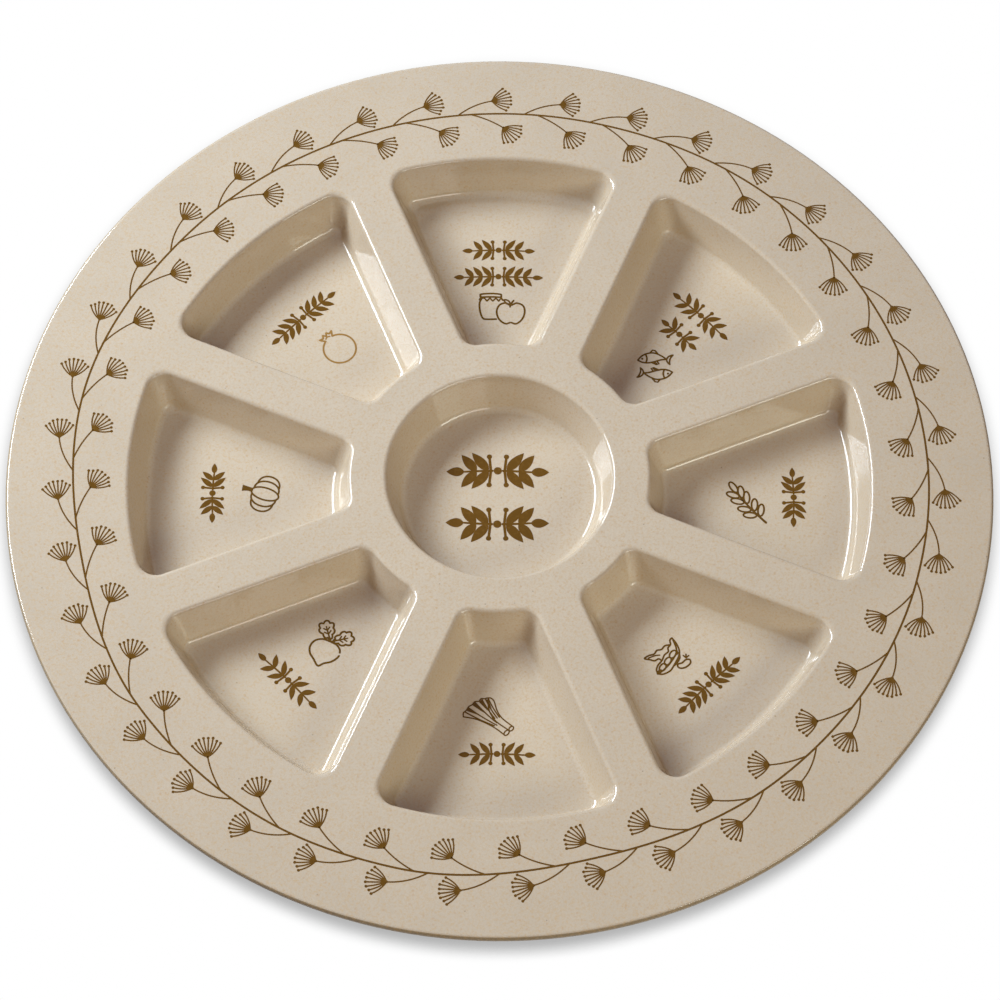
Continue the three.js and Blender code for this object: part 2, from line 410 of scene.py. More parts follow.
class Nodes:
    """Adds shader nodes to one material and links them."""

    def __init__(self, name: str) -> None:
        """Starts a material with an empty node tree.

        Args:
            name: The material's name.
        """
        self.material = bpy.data.materials.new(name)
        self.material.use_nodes = True
        self.tree = self.material.node_tree
        self.tree.nodes.clear()

    def add(self, kind: str, **settings: object) -> bpy.types.Node:
        """Adds a node.

        Args:
            kind: The node's type without its ShaderNode prefix.
            **settings: Attributes to set on it.

        Returns:
            The node.
        """
        node = self.tree.nodes.new("ShaderNode" + kind)
        for key, value in settings.items():
            setattr(node, key, value)
        return node

    def link(self, source: Socket, target: Socket) -> None:
        """Links an output to an input."""
        self.tree.links.new(source, target)

    def scaled_place(self, scale: float) -> Socket:
        """Gives the place on the object multiplied so that one unit is one cell of a pattern.

        Args:
            scale: Cells per metre.

        Returns:
            The scaled place as a vector output.
        """
        place = self.add("TexCoord").outputs["Object"]
        mapping = self.add("Mapping")
        mapping.inputs["Scale"].default_value = (scale, scale, scale)
        self.link(place, mapping.inputs["Vector"])
        return mapping.outputs["Vector"]

    def reach(self) -> Socket:
        """Gives the distance from the object's middle in millimetres.

        Returns:
            The distance as a value.
        """
        length = self.add("VectorMath", operation="LENGTH")
        self.link(self.scaled_place(1 / MM), length.inputs[0])
        return length.outputs["Value"]

    def blots(self, pattern: Blots, offset: float = 0.0) -> Socket:
        """Adds a soft noise pattern.

        Args:
            pattern: The pattern.
            offset: What is added to its result.

        Returns:
            The pattern's result.
        """
        node = self.add("TexNoise")
        node.inputs["Scale"].default_value = 1.0
        node.inputs["Detail"].default_value = pattern.detail
        node.inputs["Roughness"].default_value = pattern.unevenness
        self.link(self.scaled_place(1 / (pattern.size * MM)), node.inputs["Vector"])
        result = (pattern.result[0] + offset, pattern.result[1] + offset)
        return self.ranged(node.outputs["Fac"], pattern.noise, result)

    def specks(self, pattern: Specks) -> Socket:
        """Adds round specks at random places.

        Args:
            pattern: The specks.

        Returns:
            A value that is the specks' strength on a speck and 0 off it.
        """
        cells = self.add("TexVoronoi", feature="F1", voronoi_dimensions="3D")
        cells.inputs["Scale"].default_value = 1.0
        self.link(self.scaled_place(1 / (pattern.spacing * MM)), cells.inputs["Vector"])
        edge = self.add("MapRange", interpolation_type="SMOOTHSTEP")
        edge.inputs["From Min"].default_value = (pattern.radius + pattern.softness) / pattern.spacing
        edge.inputs["From Max"].default_value = pattern.radius / pattern.spacing
        self.link(cells.outputs["Distance"], edge.inputs["Value"])
        chosen = self.add("SeparateColor")
        self.link(cells.outputs["Color"], chosen.inputs["Color"])
        picked = self.add("Math", operation="LESS_THAN")
        picked.inputs[1].default_value = pattern.share
        self.link(chosen.outputs["Red"], picked.inputs[0])
        both = self.add("Math", operation="MULTIPLY")
        self.link(edge.outputs["Result"], both.inputs[0])
        self.link(picked.outputs["Value"], both.inputs[1])
        return self.ranged(both.outputs["Value"], (0, 1), (0, pattern.strength))

    def ranged(self, value: Socket, source: Point, result: Point, **settings: object) -> Socket:
        """Maps a value's range onto another one, without passing its ends.

        Args:
            value: The value to map.
            source: The two ends of its range.
            result: What the two ends become.
            **settings: Attributes to set on the node.

        Returns:
            The mapped value.
        """
        node = self.add("MapRange", **settings)
        for socket, number in zip(("From Min", "From Max", "To Min", "To Max"), (*source, *result)):
            node.inputs[socket].default_value = number
        self.link(value, node.inputs["Value"])
        return node.outputs["Result"]

    def mixed(self, amount: Socket, base: Socket, over: Colour) -> Socket:
        """Lays a colour over another one.

        Args:
            amount: How much of the upper colour shows.
            base: The lower colour.
            over: The upper colour in linear values.

        Returns:
            The mixed colour.
        """
        node = self.add("Mix", data_type="RGBA")
        self.link(amount, node.inputs["Factor"])
        self.link(base, node.inputs["A"])
        node.inputs["B"].default_value = (*over, 1)
        return node.outputs["Result"]

    def brightened(self, colour: Socket, gain: Socket) -> Socket:
        """Multiplies a colour by a value.

        Args:
            colour: The colour.
            gain: The value to multiply it by.

        Returns:
            The multiplied colour.
        """
        node = self.add("VectorMath", operation="SCALE")
        self.link(colour, node.inputs["Vector"])
        self.link(gain, node.inputs["Scale"])
        return node.outputs["Vector"]

    def plain(self, colour: Colour) -> Socket:
        """Gives one colour as an output.

        Args:
            colour: The colour in linear values.

        Returns:
            The colour as an output.
        """
        node = self.add("RGB")
        node.outputs["Color"].default_value = (*colour, 1)
        return node.outputs["Color"]

    def coated(self, colour: Socket, refraction: float, shine: float) -> bpy.types.Node:
        """Adds the shader of a coloured body under a clear gloss.

        Args:
            colour: The body's colour.
            refraction: The gloss's index of refraction.
            shine: How strongly it mirrors, 0.5 for its full share.

        Returns:
            The shader's node, whose roughness is still open.
        """
        shader = self.add("BsdfPrincipled")
        self.link(colour, shader.inputs["Base Color"])
        shader.inputs["IOR"].default_value = refraction
        shader.inputs["Specular IOR Level"].default_value = shine
        return shader

    def finish(self, shader: Socket) -> bpy.types.Material:
        """Links a shader to the material's output.

        Args:
            shader: The shader.

        Returns:
            The finished material.
        """
        output = self.add("OutputMaterial")
        self.link(shader, output.inputs["Surface"])
        return self.material


@dataclass(frozen=True)
class MelamineFinish:
    """Glossy beige melamine filled with bamboo fibre, with a fine tan mottling and a few dark specks.

    The painted light at the hub and the painted shade at the rim are each a distance from the plate's middle
    in millimetres and how bright the colour is there: the colour is painted lighter towards the middle and
    darker towards the rim, in place of light that falls off.
    """

    name: str = "bamboo_melamine"
    base: ScreenColour = (207, 194, 173)
    mottle: ScreenColour = (203, 173, 126)
    tan_speck: ScreenColour = (190, 146, 96)
    dark_speck: ScreenColour = (124, 100, 78)
    roughness: float = 0.06
    refraction: float = 1.56
    shine: float = 0.5
    hub_painted_light: Point = (60.0, 1.025)
    rim_painted_shade: Point = (170.0, 0.965)
    cloud: Blots = Blots(22, 2, noise=(0.3, 0.7), result=(0.975, 1.025))
    grain: Blots = Blots(0.45, 2, noise=(0.25, 0.75), result=(0.952, 1.048))
    mottling: Blots = Blots(0.8, 2.5, noise=(0.46, 0.74), result=(0.0, 0.66), unevenness=0.62)
    wear: Blots = Blots(9, 3, noise=(0.3, 0.7), result=(-0.015, 0.015))
    tan_specks: Specks = Specks(2.4, radius=0.16, softness=0.5, share=0.5, strength=0.3)
    dark_specks: Specks = Specks(5.5, radius=0.12, softness=0.24, share=0.5, strength=0.5)

    def build(self) -> bpy.types.Material:
        """Makes the material.

        Returns:
            The material.
        """
        nodes = Nodes(self.name)
        colour = nodes.plain(linear(self.base))
        # Painted light and shade: the colour is brightened at the hub and darkened towards the rim, in place
        # of light falling off.
        painted_light_falloff = nodes.ranged(nodes.reach(), *zip(self.hub_painted_light, self.rim_painted_shade))
        for gain in (nodes.blots(self.cloud), nodes.blots(self.grain), painted_light_falloff):
            colour = nodes.brightened(colour, gain)
        colour = nodes.mixed(nodes.blots(self.mottling), colour, linear(self.mottle))
        colour = nodes.mixed(nodes.specks(self.tan_specks), colour, linear(self.tan_speck))
        colour = nodes.mixed(nodes.specks(self.dark_specks), colour, linear(self.dark_speck))
        shader = nodes.coated(colour, self.refraction, self.shine)
        nodes.link(nodes.blots(self.wear, offset=self.roughness), shader.inputs["Roughness"])
        return nodes.finish(shader.outputs["BSDF"])


@dataclass(frozen=True)
class InkFinish:
    """Golden-brown print ink that lies under the plate's glaze, a little paler in blots."""

    name: str
    base: ScreenColour = (106, 74, 21)
    edge: ScreenColour = (126, 92, 38)
    roughness: float = 0.13
    refraction: float = 1.5
    shine: float = 0.1
    thin: Blots = Blots(1.6, 3, noise=(0.5, 0.8), result=(0.0, 0.7), unevenness=0.6)
    dots: Blots = Blots(0.3, 1, noise=(0.3, 0.7), result=(0.94, 1.06))

    def build(self) -> bpy.types.Material:
        """Makes the material.

        Returns:
            The material.
        """
        nodes = Nodes(self.name)
        colour = nodes.mixed(nodes.blots(self.thin), nodes.plain(linear(self.base)), linear(self.edge))
        colour = nodes.brightened(colour, nodes.blots(self.dots))
        shader = nodes.coated(colour, self.refraction, self.shine)
        shader.inputs["Roughness"].default_value = self.roughness
        return nodes.finish(shader.outputs["BSDF"])


@dataclass
class Moulding:
    """The plate itself: rim, land, ribs, wells with their shells, and foot, as one smooth skin.

    The rim's radius and the heights of the land and the floors come from the frame. A profile is a line of
    insets and heights, from a well's outline at the land. The outermost band of the rim's edge has a duller
    gloss, a guess at an edge ground after the pressing, and a darker colour, which is painted shade; a
    shading band is a narrow flat face beside a rounding.
    """

    rim_radius: float
    land_top: float
    floor_top: float
    rim_edge_thickness: float = 2.6
    rim_edge_width: float = 7.0
    rim_edge_rounding: float = 1.3
    rim_lower_rounding: float = 0.6
    dull_painted_shade_band: float = 0.6
    land_thickness: float = 3.2
    well_draft: float = 5.2
    well_top_rounding: float = 1.8
    well_floor_fillet: float = 3.0
    wall: float = 3.0
    shell_root_fillet: float = 2.0
    sector_outer_radius: float = 131.7
    sector_inner_radius: float = 53.5
    rib_width: float = 16.2
    outer_corner_radius: float = 7.0
    inner_corner_radius: float = 6.0
    floor_corner_radius: float = 3.4
    centre_well_radius: float = 40.3
    foot_height: float = 1.5
    foot_width: float = 3.0
    foot_margin: float = 3.0
    foot_rounding: float = 0.6
    shading_band: float = 1.2
    shading_weight: int = 100
    rounding_steps: int = 8
    round_points: int = 192
    outer_arc_steps: int = 44
    inner_arc_steps: int = 16
    corner_steps: int = 10

    @property
    def depth(self) -> float:
        """The wells' depth from the land down to their floors."""
        return self.land_top - self.floor_top

    @property
    def slope(self) -> float:
        """How far a wall leans in for each millimetre that it goes down."""
        return self.well_draft / self.depth

    @property
    def level_wall(self) -> float:
        """The wall's thickness on a level line."""
        return self.wall / math.cos(math.atan(self.slope))

    @property
    def shell_rounding(self) -> float:
        """The rounding between a shell's side and the underside of its floor."""
        return self.well_floor_fillet + self.wall

    @property
    def shell_bottom(self) -> float:
        """The inset at which a shell's side meets the underside of its floor."""
        floor_thickness = self.floor_top - self.foot_height
        return self.well_draft - self.level_wall + floor_thickness * self.slope

    @property
    def foot_inset(self) -> float:
        """How far the foot's middle line lies inside a well's outline at the land."""
        tangent = self.shell_rounding * math.tan((math.pi / 2 - math.atan(self.slope)) / 2)
        return self.shell_bottom + tangent + self.foot_margin + self.foot_width / 2

    def sector_outline(self, inset: float, outer_corner: float, inner_corner: float) -> list[Point]:
        """Gives a sector well's outline round the +X axis.

        Args:
            inset: How far its sides are moved in.
            outer_corner: The radius of its outer corners.
            inner_corner: The radius of its inner corners.

        Returns:
            The outline counter-clockwise, always with the same number of points.
        """
        rib = self.rib_width / 2 + inset
        outer = self.sector_outer_radius - inset
        inner = self.sector_inner_radius + inset
        half_sector = math.pi / len(Food)

        outer_across = rib + outer_corner
        outer_along = math.sqrt((outer - outer_corner) ** 2 - outer_across**2)
        outer_touch = math.atan2(outer_across, outer_along)
        inner_across = rib + inner_corner
        inner_along = math.sqrt((inner + inner_corner) ** 2 - inner_across**2)
        inner_touch = math.atan2(inner_across, inner_along)

        steps = self.corner_steps
        lower = arc((inner_along, inner_across), inner_corner, 180 + math.degrees(inner_touch), 270, steps)
        lower += arc((outer_along, outer_across), outer_corner, -90, math.degrees(outer_touch), steps)
        lower = [turned_by(point, -half_sector) for point in lower]
        upper = [(x, -y) for x, y in reversed(lower)]
        outer_half = math.degrees(half_sector - outer_touch)
        inner_half = math.degrees(half_sector - inner_touch)
        far_side = arc((0, 0), outer, -outer_half, outer_half, self.outer_arc_steps)[1:-1]
        near_side = arc((0, 0), inner, inner_half, -inner_half, self.inner_arc_steps)[1:-1]
        return lower + far_side + upper + near_side

    def corner_radii(self, inset: float) -> tuple[float, float]:
        """Gives the outer and inner corner radii of a well at an inset: they tighten towards the floor.

        Args:
            inset: How far inside the well's outline at the land.

        Returns:
            The radius of the outer corners and that of the inner corners.
        """
        share = min(max(inset / self.well_draft, 0), 1)
        return (
            self.outer_corner_radius + (self.floor_corner_radius - self.outer_corner_radius) * share,
            self.inner_corner_radius + (self.floor_corner_radius - self.inner_corner_radius) * share,
        )

    def well_outline(self, inset: float) -> list[Point]:
        """Gives the outline of a sector well's own wall or floor at an inset."""
        return self.sector_outline(inset, *self.corner_radii(inset))

    def shell_outline(self, inset: float) -> list[Point]:
        """Gives the outline of a sector well's shell at an inset, a wall's thickness out."""
        outer, inner = self.corner_radii(inset + self.level_wall)
        return self.sector_outline(inset, outer + self.wall, inner + self.wall)

    def circle(self, radius: float) -> list[Point]:
        """Gives a circle's points, counter-clockwise."""
        return [polar(radius, FULL_TURN * k / self.round_points) for k in range(self.round_points)]

    def centre_outline(self, inset: float) -> list[Point]:
        """Gives the outline of the centre well's wall or shell at an inset."""
        return self.circle(self.centre_well_radius - inset)

    def well_profile(self) -> list[Point]:
        """Gives the wells' inner side as inset and height, from the land down to the floor.

        Returns:
            The profile, rounded at the mouth and filleted at the floor.
        """
        return rounded_line(
            [
                (-self.well_top_rounding - self.shading_band, self.land_top, 0),
                (0, self.land_top, self.well_top_rounding),
                (self.well_draft, self.floor_top, self.well_floor_fillet),
                (self.well_draft + self.well_floor_fillet + self.shading_band, self.floor_top, 0),
            ],
            self.rounding_steps,
        )

    def shell_profile(self) -> list[Point]:
        """Gives the shells' outer side as inset and height, from the land's underside down to the floor's.

        Returns:
            The profile, with both its corners rounded.
        """
        root = self.land_thickness * self.slope - self.level_wall
        underside = self.land_top - self.land_thickness
        return rounded_line(
            [
                (root - self.shell_root_fillet - self.shading_band, underside, 0),
                (root, underside, self.shell_root_fillet),
                (self.shell_bottom, self.foot_height, self.shell_rounding),
                (self.shell_bottom + self.shell_rounding, self.foot_height, 0),
            ],
            self.rounding_steps,
        )

    def rim_profile(self) -> list[Point]:
        """Gives the rim's edge as radius and height, from the land's underside out and up to its top.

        Returns:
            The profile, thinner towards the edge.
        """
        underside = self.land_top - self.rim_edge_thickness
        step = self.rim_radius - self.rim_edge_width
        return rounded_line(
            [
                (step - self.rim_edge_thickness, self.land_top - self.land_thickness, 0),
                (step, underside, self.rim_edge_width),
                (self.rim_radius, underside, self.rim_lower_rounding),
                (self.rim_radius, self.land_top, self.rim_edge_rounding),
                (self.rim_radius - self.rim_edge_rounding - self.shading_band, self.land_top, 0),
            ],
            self.rounding_steps,
        )

    def foot_profile(self) -> list[Point]:
        """Gives the foot's side as inset from its widest outline and height, from the shell down.

        Returns:
            The profile, rounded where the plate stands.
        """
        return rounded_line(
            [
                (0, self.foot_height, 0),
                (0, 0, self.foot_rounding),
                (2 * self.foot_rounding, 0, 0),
            ],
            self.rounding_steps // 2,
        )[:-1]

    def foot_outline(self, inset: float) -> list[Point]:
        """Gives the outline of the foot arc under the sector well on the +X axis.

        Args:
            inset: How far its sides are moved in.

        Returns:
            The outline, counter-clockwise.
        """
        middle = self.sector_outer_radius - self.foot_inset
        clear_of_rib = self.rib_width / 2 + self.foot_inset + self.floor_corner_radius
        half = math.degrees(math.pi / len(Food) - math.asin(clear_of_rib / middle))
        end = self.foot_width / 2 - inset
        far_end = polar(middle, math.radians(half))
        near_end = (far_end[0], -far_end[1])
        return (
            arc((0, 0), middle + end, -half, half, self.outer_arc_steps)
            + arc(far_end, end, half, half + 180, self.corner_steps)[1:]
            + arc((0, 0), middle - end, half, -half, self.outer_arc_steps)[1:]
            + arc(near_end, end, 180 - half, 360 - half, self.corner_steps)[1:-1]
        )

    @staticmethod
    def sector_loft(
        surface: Surface, well: int, outline: Callable[[float], list[Point]], profile: Sequence[Point]
    ) -> list[list[int]]:
        """Adds one sector's wall, shell or foot from its outline on the +X axis and gives its rings."""
        turn = FULL_TURN * well / len(Food)
        return surface.loft([([turned_by(p, turn) for p in outline(inset)], z) for inset, z in profile])

    def add_top(self, surface: Surface, rim: Sequence[int]) -> None:
        """Adds the land and the nine wells.

        Args:
            surface: The surface to add to.
            rim: The ring where the rim's rounding meets the land.
        """
        profile = self.well_profile()[::-1]
        mouths = []
        for well in range(len(Food)):
            wall = self.sector_loft(surface, well, self.well_outline, profile)
            mouths.append(self.finish_well(surface, wall))
        wall = surface.loft([(self.centre_outline(inset), z) for inset, z in profile])
        mouths.append(self.finish_well(surface, wall))
        surface.face_with_holes(rim, mouths, up=True)

    def finish_well(self, surface: Surface, wall: Sequence[Sequence[int]]) -> Sequence[int]:
        """Turns the wall that was added last towards the well and adds the well's floor.

        Args:
            surface: The surface to add to.
            wall: The wall's rings, the lowest first.

        Returns:
            The ring of the well's mouth.
        """
        self.turn_inside_out(surface, wall)
        surface.face_with_holes(wall[0], [], up=True)
        return wall[-1]

    @staticmethod
    def turn_inside_out(surface: Surface, rings: Sequence[Sequence[int]]) -> None:
        """Makes the faces that joined these rings last look inwards."""
        count = (len(rings) - 1) * len(rings[0])
        surface.faces[-count:] = [tuple(reversed(face)) for face in surface.faces[-count:]]

    def add_underside(self, surface: Surface, rim: Sequence[int]) -> None:
        """Adds the land's underside, the shells and the foot.

        Args:
            surface: The surface to add to.
            rim: The ring where the rim's underside meets the land's.
        """
        profile = self.shell_profile()[::-1]
        foot = self.foot_profile()[::-1]
        roots = []
        for well in range(len(Food)):
            rings = self.sector_loft(surface, well, self.shell_outline, profile)
            feet = self.sector_loft(surface, well, self.foot_outline, foot)
            surface.face_with_holes(feet[0], [], up=False)
            surface.face_with_holes(rings[0], [feet[-1]], up=False)
            roots.append(rings[-1])
        rings = surface.loft([(self.centre_outline(inset), z) for inset, z in profile])
        outer_edge = self.centre_well_radius - self.foot_inset + self.foot_width / 2
        inner_edge = outer_edge - self.foot_width
        outside = surface.loft([(self.circle(outer_edge - inset), z) for inset, z in foot])
        inside = surface.loft([(self.circle(inner_edge + inset), z) for inset, z in foot])
        self.turn_inside_out(surface, inside)
        surface.face_with_holes(rings[0], [outside[-1]], up=False)
        surface.face_with_holes(outside[0], [inside[0]], up=False)
        surface.face_with_holes(inside[-1], [], up=False)
        roots.append(rings[-1])
        surface.face_with_holes(rim, roots, up=False)

    def build(self, finish: MelamineFinish, dull_painted_shade_edge: MelamineFinish) -> bpy.types.Object:
        """Makes the moulding's skin and dresses it.

        Args:
            finish: The finish of its melamine.
            dull_painted_shade_edge: The finish of the rim's outermost band: duller, as if ground after the
                pressing, with a darker colour that is painted shade.

        Returns:
            The piece.
        """
        surface = Surface()
        rings = surface.loft([(self.circle(radius), z) for radius, z in self.rim_profile()])
        self.add_underside(surface, rings[0])
        self.add_top(surface, rings[-1])
        piece = surface.build("moulding_skin", finish.build(), smooth_faces=True)
        even = piece.modifiers.new("even_shading", "WEIGHTED_NORMAL")
        even.mode = "FACE_AREA"
        even.weight = self.shading_weight
        even.keep_sharp = True
        # The rim's outermost band takes a duller finish whose darker colour is painted shade on the rim's
        # edge.
        piece.data.materials.append(dull_painted_shade_edge.build())
        dull_painted_shade_from = (self.rim_radius - self.dull_painted_shade_band) * MM
        for face in piece.data.polygons:
            face.material_index = int(face.center.xy.length > dull_painted_shade_from)
        return piece


@dataclass
class Pen:
    """Lays ink on a level face as thin closed slabs, each a hair higher than the one before it.

    Drawings are made about their own origin. The pen moves them to a place on the plate, turns them by its
    turn in degrees and scales them.
    """

    height: float
    place: Point = (0.0, 0.0)
    turn: float = 0.0
    scale: float = 1.0
    thickness: float = 0.03
    sunk: float = 0.03
    lift_step: float = 0.0015
    lift_levels: int = 12
    cap_steps: int = 3
    short_cap_steps: int = 2
    surface: Surface = field(default_factory=Surface)
    laid: int = 0

    def moved(self, points: Sequence[Point]) -> list[Point]:
        """Moves drawn points to where the pen is."""
        turn = math.radians(self.turn)
        return [plus(turned_by((x * self.scale, y * self.scale), turn), self.place) for x, y in points]

    def next_top(self) -> float:
        """Gives the height of the next slab's top, one small step above the last one's.

        Returns:
            The height, which starts again after the last of the steps.
        """
        lift = self.lift_step * (self.laid % self.lift_levels)
        self.laid += 1
        return self.height + self.thickness + lift

    def slab(self, outline: Sequence[Point], strips: Sequence[tuple[int, ...]]) -> None:
        """Adds a closed slab whose top face is made of the given strips of its outline's points.

        Args:
            outline: The outline, counter-clockwise.
            strips: The faces that fill it, as numbers of the outline's points.
        """
        placed = self.moved(outline)
        low = self.surface.ring(placed, self.height - self.sunk)
        high = self.surface.ring(placed, self.next_top())
        self.surface.bridge(low, high)
        for strip in strips:
            self.surface.faces.append(tuple(high[i] for i in strip))
            self.surface.faces.append(tuple(low[i] for i in reversed(strip)))

    def blot(self, outline: Sequence[Point]) -> None:
        """Fills an outline that a single face can fill.

        Args:
            outline: The outline, in either direction.
        """
        area = sum(a[0] * b[1] - b[0] * a[1] for a, b in zip(outline, list(outline[1:]) + [outline[0]]))
        ordered = list(outline) if area > 0 else list(reversed(outline))
        self.slab(ordered, [tuple(range(len(ordered)))])

    def dot(self, centre: Point, radius: float, steps: int = 12) -> None:
        """Lays a round dot."""
        self.blot(oval(centre, radius, radius, steps=steps))

    def line(
        self, points: Sequence[Point], width: float, end_width: float | None = None, short: bool = False
    ) -> None:
        """Draws a line with round ends.

        Args:
            points: The line's points.
            width: Its width at the start.
            end_width: Its width at the end, where it differs.
            short: Whether it is a short stroke, whose ends need fewer points.
        """
        path = [Vector(point) for point in points]
        count = len(path)
        last_width = width if end_width is None else end_width
        sides: tuple[list[Point], list[Point]] = ([], [])
        for i, point in enumerate(path):
            along = (path[min(i + 1, count - 1)] - path[max(i - 1, 0)]).normalized()
            across = Vector((-along.y, along.x))
            half = (width + (last_width - width) * i / (count - 1)) / 2
            sides[0].append(tuple(point - across * half))
            sides[1].append(tuple(point + across * half))
        ends = []
        cap_steps = self.short_cap_steps if short else self.cap_steps
        for end, neighbour, size in ((path[-1], path[-2], last_width), (path[0], path[1], width)):
            towards = end - neighbour
            heading = math.degrees(math.atan2(towards.y, towards.x))
            ends.append(arc(tuple(end), size / 2, heading - 90, heading + 90, cap_steps)[1:-1])
        outline = sides[0] + ends[0] + list(reversed(sides[1])) + ends[1]
        cap = len(ends[0])
        far = count + cap
        strips = [(i, i + 1, far + count - 2 - i, far + count - 1 - i) for i in range(count - 1)]
        strips.append((count - 1, *range(count, count + cap), far))
        strips.append((far + count - 1, *range(far + count, far + count + cap), 0))
        self.slab(outline, strips)

    def loop(self, points: Sequence[Point], width: float) -> None:
        """Draws a closed line of one width.

        Args:
            points: The line's points, without a repeated last one.
            width: Its width.
        """
        path = [Vector(point) for point in points]
        count = len(path)
        area = sum(path[i - 1].cross(path[i]) for i in range(count))
        if area < 0:
            path.reverse()
        rings: tuple[list[Point], list[Point]] = ([], [])
        for i, point in enumerate(path):
            along = (path[(i + 1) % count] - path[i - 1]).normalized()
            across = Vector((-along.y, along.x)) * width / 2
            rings[0].append(tuple(point - across))
            rings[1].append(tuple(point + across))
        outer, inner = (self.moved(ring) for ring in rings)
        top = self.next_top()
        bottom = self.height - self.sunk
        tube = self.surface.loft([(outer, bottom), (outer, top), (inner, top), (inner, bottom)])
        self.surface.bridge(tube[-1], tube[0])

    def curve(self, points: Sequence[Point], width: float, steps: int = 6, closed: bool = False) -> None:
        """Draws a smooth line through points.

        Args:
            points: The points that it passes.
            width: Its width.
            steps: How many steps lie between two of them.
            closed: Whether it returns to its first point.
        """
        drawn = smooth(points, steps, closed)
        if closed:
            self.loop(drawn, width)
        else:
            self.line(drawn, width)

    def bend(self, points: Sequence[Point], width: float, steps: int = 8) -> None:
        """Draws a Bezier curve from its end points and control points."""
        self.line(bezier(points, steps), width)

    def strokes(self, points: Sequence[Point], width: float) -> None:
        """Draws a short straight stroke from each point to the next."""
        for start, end in zip(points, points[1:]):
            self.line([start, end], width, short=True)


@dataclass
class RimVine:
    """The printed vine: a thin ring of stem with one umbel sprig after another on both sides, all clockwise.

    The stem wanders a little, and the sprigs lie wider apart on one stretch of it than on the rest. Each
    place of the stem's wandering is an angle and the radius there. A base or a bend is a reach from where a
    sprig leaves the stem, and a fan holds the directions of its first and last ray, outwards from clockwise.
    Rays are shorter by the arch at the fan's ends and vary by the unevenness, whose wave is in radians from
    ray to ray. A ray bends at the bow's place, where it leans more than its tip by the factor bow.
    """

    height: float
    sprigs: int = 39
    wide_sprigs: int = 24
    first_sprig: float = 297.75
    wide_spacing: float = 9.33
    inner_lead: float = 4.8
    wander: tuple[Point, ...] = (
        (0, 152.1), (50, 152.1), (78, 151.2), (140, 151.2), (165, 152.8), (192, 150.2),
        (217, 153.3), (240, 154.2), (257, 153.5), (285, 149.4), (310, 151.0), (345, 151.8),
    )
    stem_width: float = 0.72
    branch_width: float = 0.56
    branch_steps: int = 10
    node_radius: float = 0.5
    rays: int = 8
    ray_width: float = 0.52
    ray_length: float = 7.15
    ray_steps: int = 6
    ray_arch: float = 0.09
    ray_unevenness: float = 0.03
    ray_wave: float = 2.6
    bow: float = 1.4
    bow_place: float = 0.5
    tip_radius: float = 0.52
    tip_steps: int = 10
    outer_base: Point = (12.8, 5.6)
    outer_bend: Point = (6.2, 4.7)
    outer_fan: Point = (53.0, -39.0)
    inner_base: Point = (12.1, -6.1)
    inner_bend: Point = (6.6, -2.2)
    inner_fan: Point = (6.0, -87.0)

    def stem_at(self, degrees: float) -> float:
        """Gives the stem's radius at an angle in degrees.

        Args:
            degrees: The angle, counter-clockwise from +X.

        Returns:
            The radius of the stem's middle line.
        """
        turns = list(self.wander) + [plus(self.wander[0], (360, 0))]
        degrees %= 360
        for (start, radius), (end, next_radius) in zip(turns, turns[1:]):
            if start <= degrees <= end:
                share = (degrees - start) / (end - start)
                return radius + (next_radius - radius) * share * share * (3 - 2 * share)
        return turns[0][1]

    def along_stem(self, degrees: float, reach: Point) -> Point:
        """Gives the point at a reach from an angle of the stem: so far clockwise along it, and so far out."""
        angle = math.radians(degrees) - reach[0] / self.stem_at(degrees)
        return polar(self.stem_at(math.degrees(angle)) + reach[1], angle)

    def sprig_angles(self) -> list[float]:
        """Gives where the outer sprigs leave the stem, in degrees.

        Returns:
            The sprigs' angles, counter-clockwise from the first.
        """
        narrow = (360 - self.wide_sprigs * self.wide_spacing) / (self.sprigs - self.wide_sprigs)
        angles = [self.first_sprig]
        for k in range(1, self.sprigs):
            angles.append(angles[-1] + (self.wide_spacing if k <= self.wide_sprigs else narrow))
        return angles

    def draw_sprig(self, pen: Pen, degrees: float, base: Point, bend: Point, fan: Point) -> None:
        """Draws one branch with its head of rays.

        Args:
            pen: The pen that draws it.
            degrees: Where it leaves the stem.
            base: Where its rays start.
            bend: The control point of its curve.
            fan: The directions of its first and last ray in degrees.
        """
        start, control, head = (self.along_stem(degrees, reach) for reach in ((0, 0), bend, base))
        pen.line(bezier((start, control, head), self.branch_steps), self.branch_width, self.ray_width)
        axis = math.degrees(math.atan2(head[1], head[0])) - 90 + (fan[0] + fan[1]) / 2
        for k in range(self.rays):
            share = 1 - 2 * k / (self.rays - 1)
            lean = (fan[0] - fan[1]) / 2 * share
            unevenness = self.ray_unevenness * math.cos(self.ray_wave * k)
            length = self.ray_length * (1 - self.ray_arch * share * share + unevenness)
            tip = plus(head, polar(length, math.radians(axis + lean)))
            side = plus(head, polar(length * self.bow_place, math.radians(axis + lean * self.bow)))
            pen.line(bezier((head, side, tip), self.ray_steps), self.ray_width, short=True)
            pen.dot(tip, self.tip_radius, self.tip_steps)
        pen.dot(head, self.node_radius)

    def build(self, ink: bpy.types.Material) -> bpy.types.Object:
        """Draws the whole vine.

        Args:
            ink: The ink's material.

        Returns:
            The piece.
        """
        pen = Pen(height=self.height)
        pen.loop([self.along_stem(degrees, (0, 0)) for degrees in range(360)], self.stem_width)
        for degrees in self.sprig_angles():
            self.draw_sprig(pen, degrees, self.outer_base, self.outer_bend, self.outer_fan)
            inner = degrees - math.degrees(self.inner_lead / self.stem_at(degrees))
            self.draw_sprig(pen, inner, self.inner_base, self.inner_bend, self.inner_fan)
        return pen.surface.build("rim_vine_print", ink, smooth_faces=False)


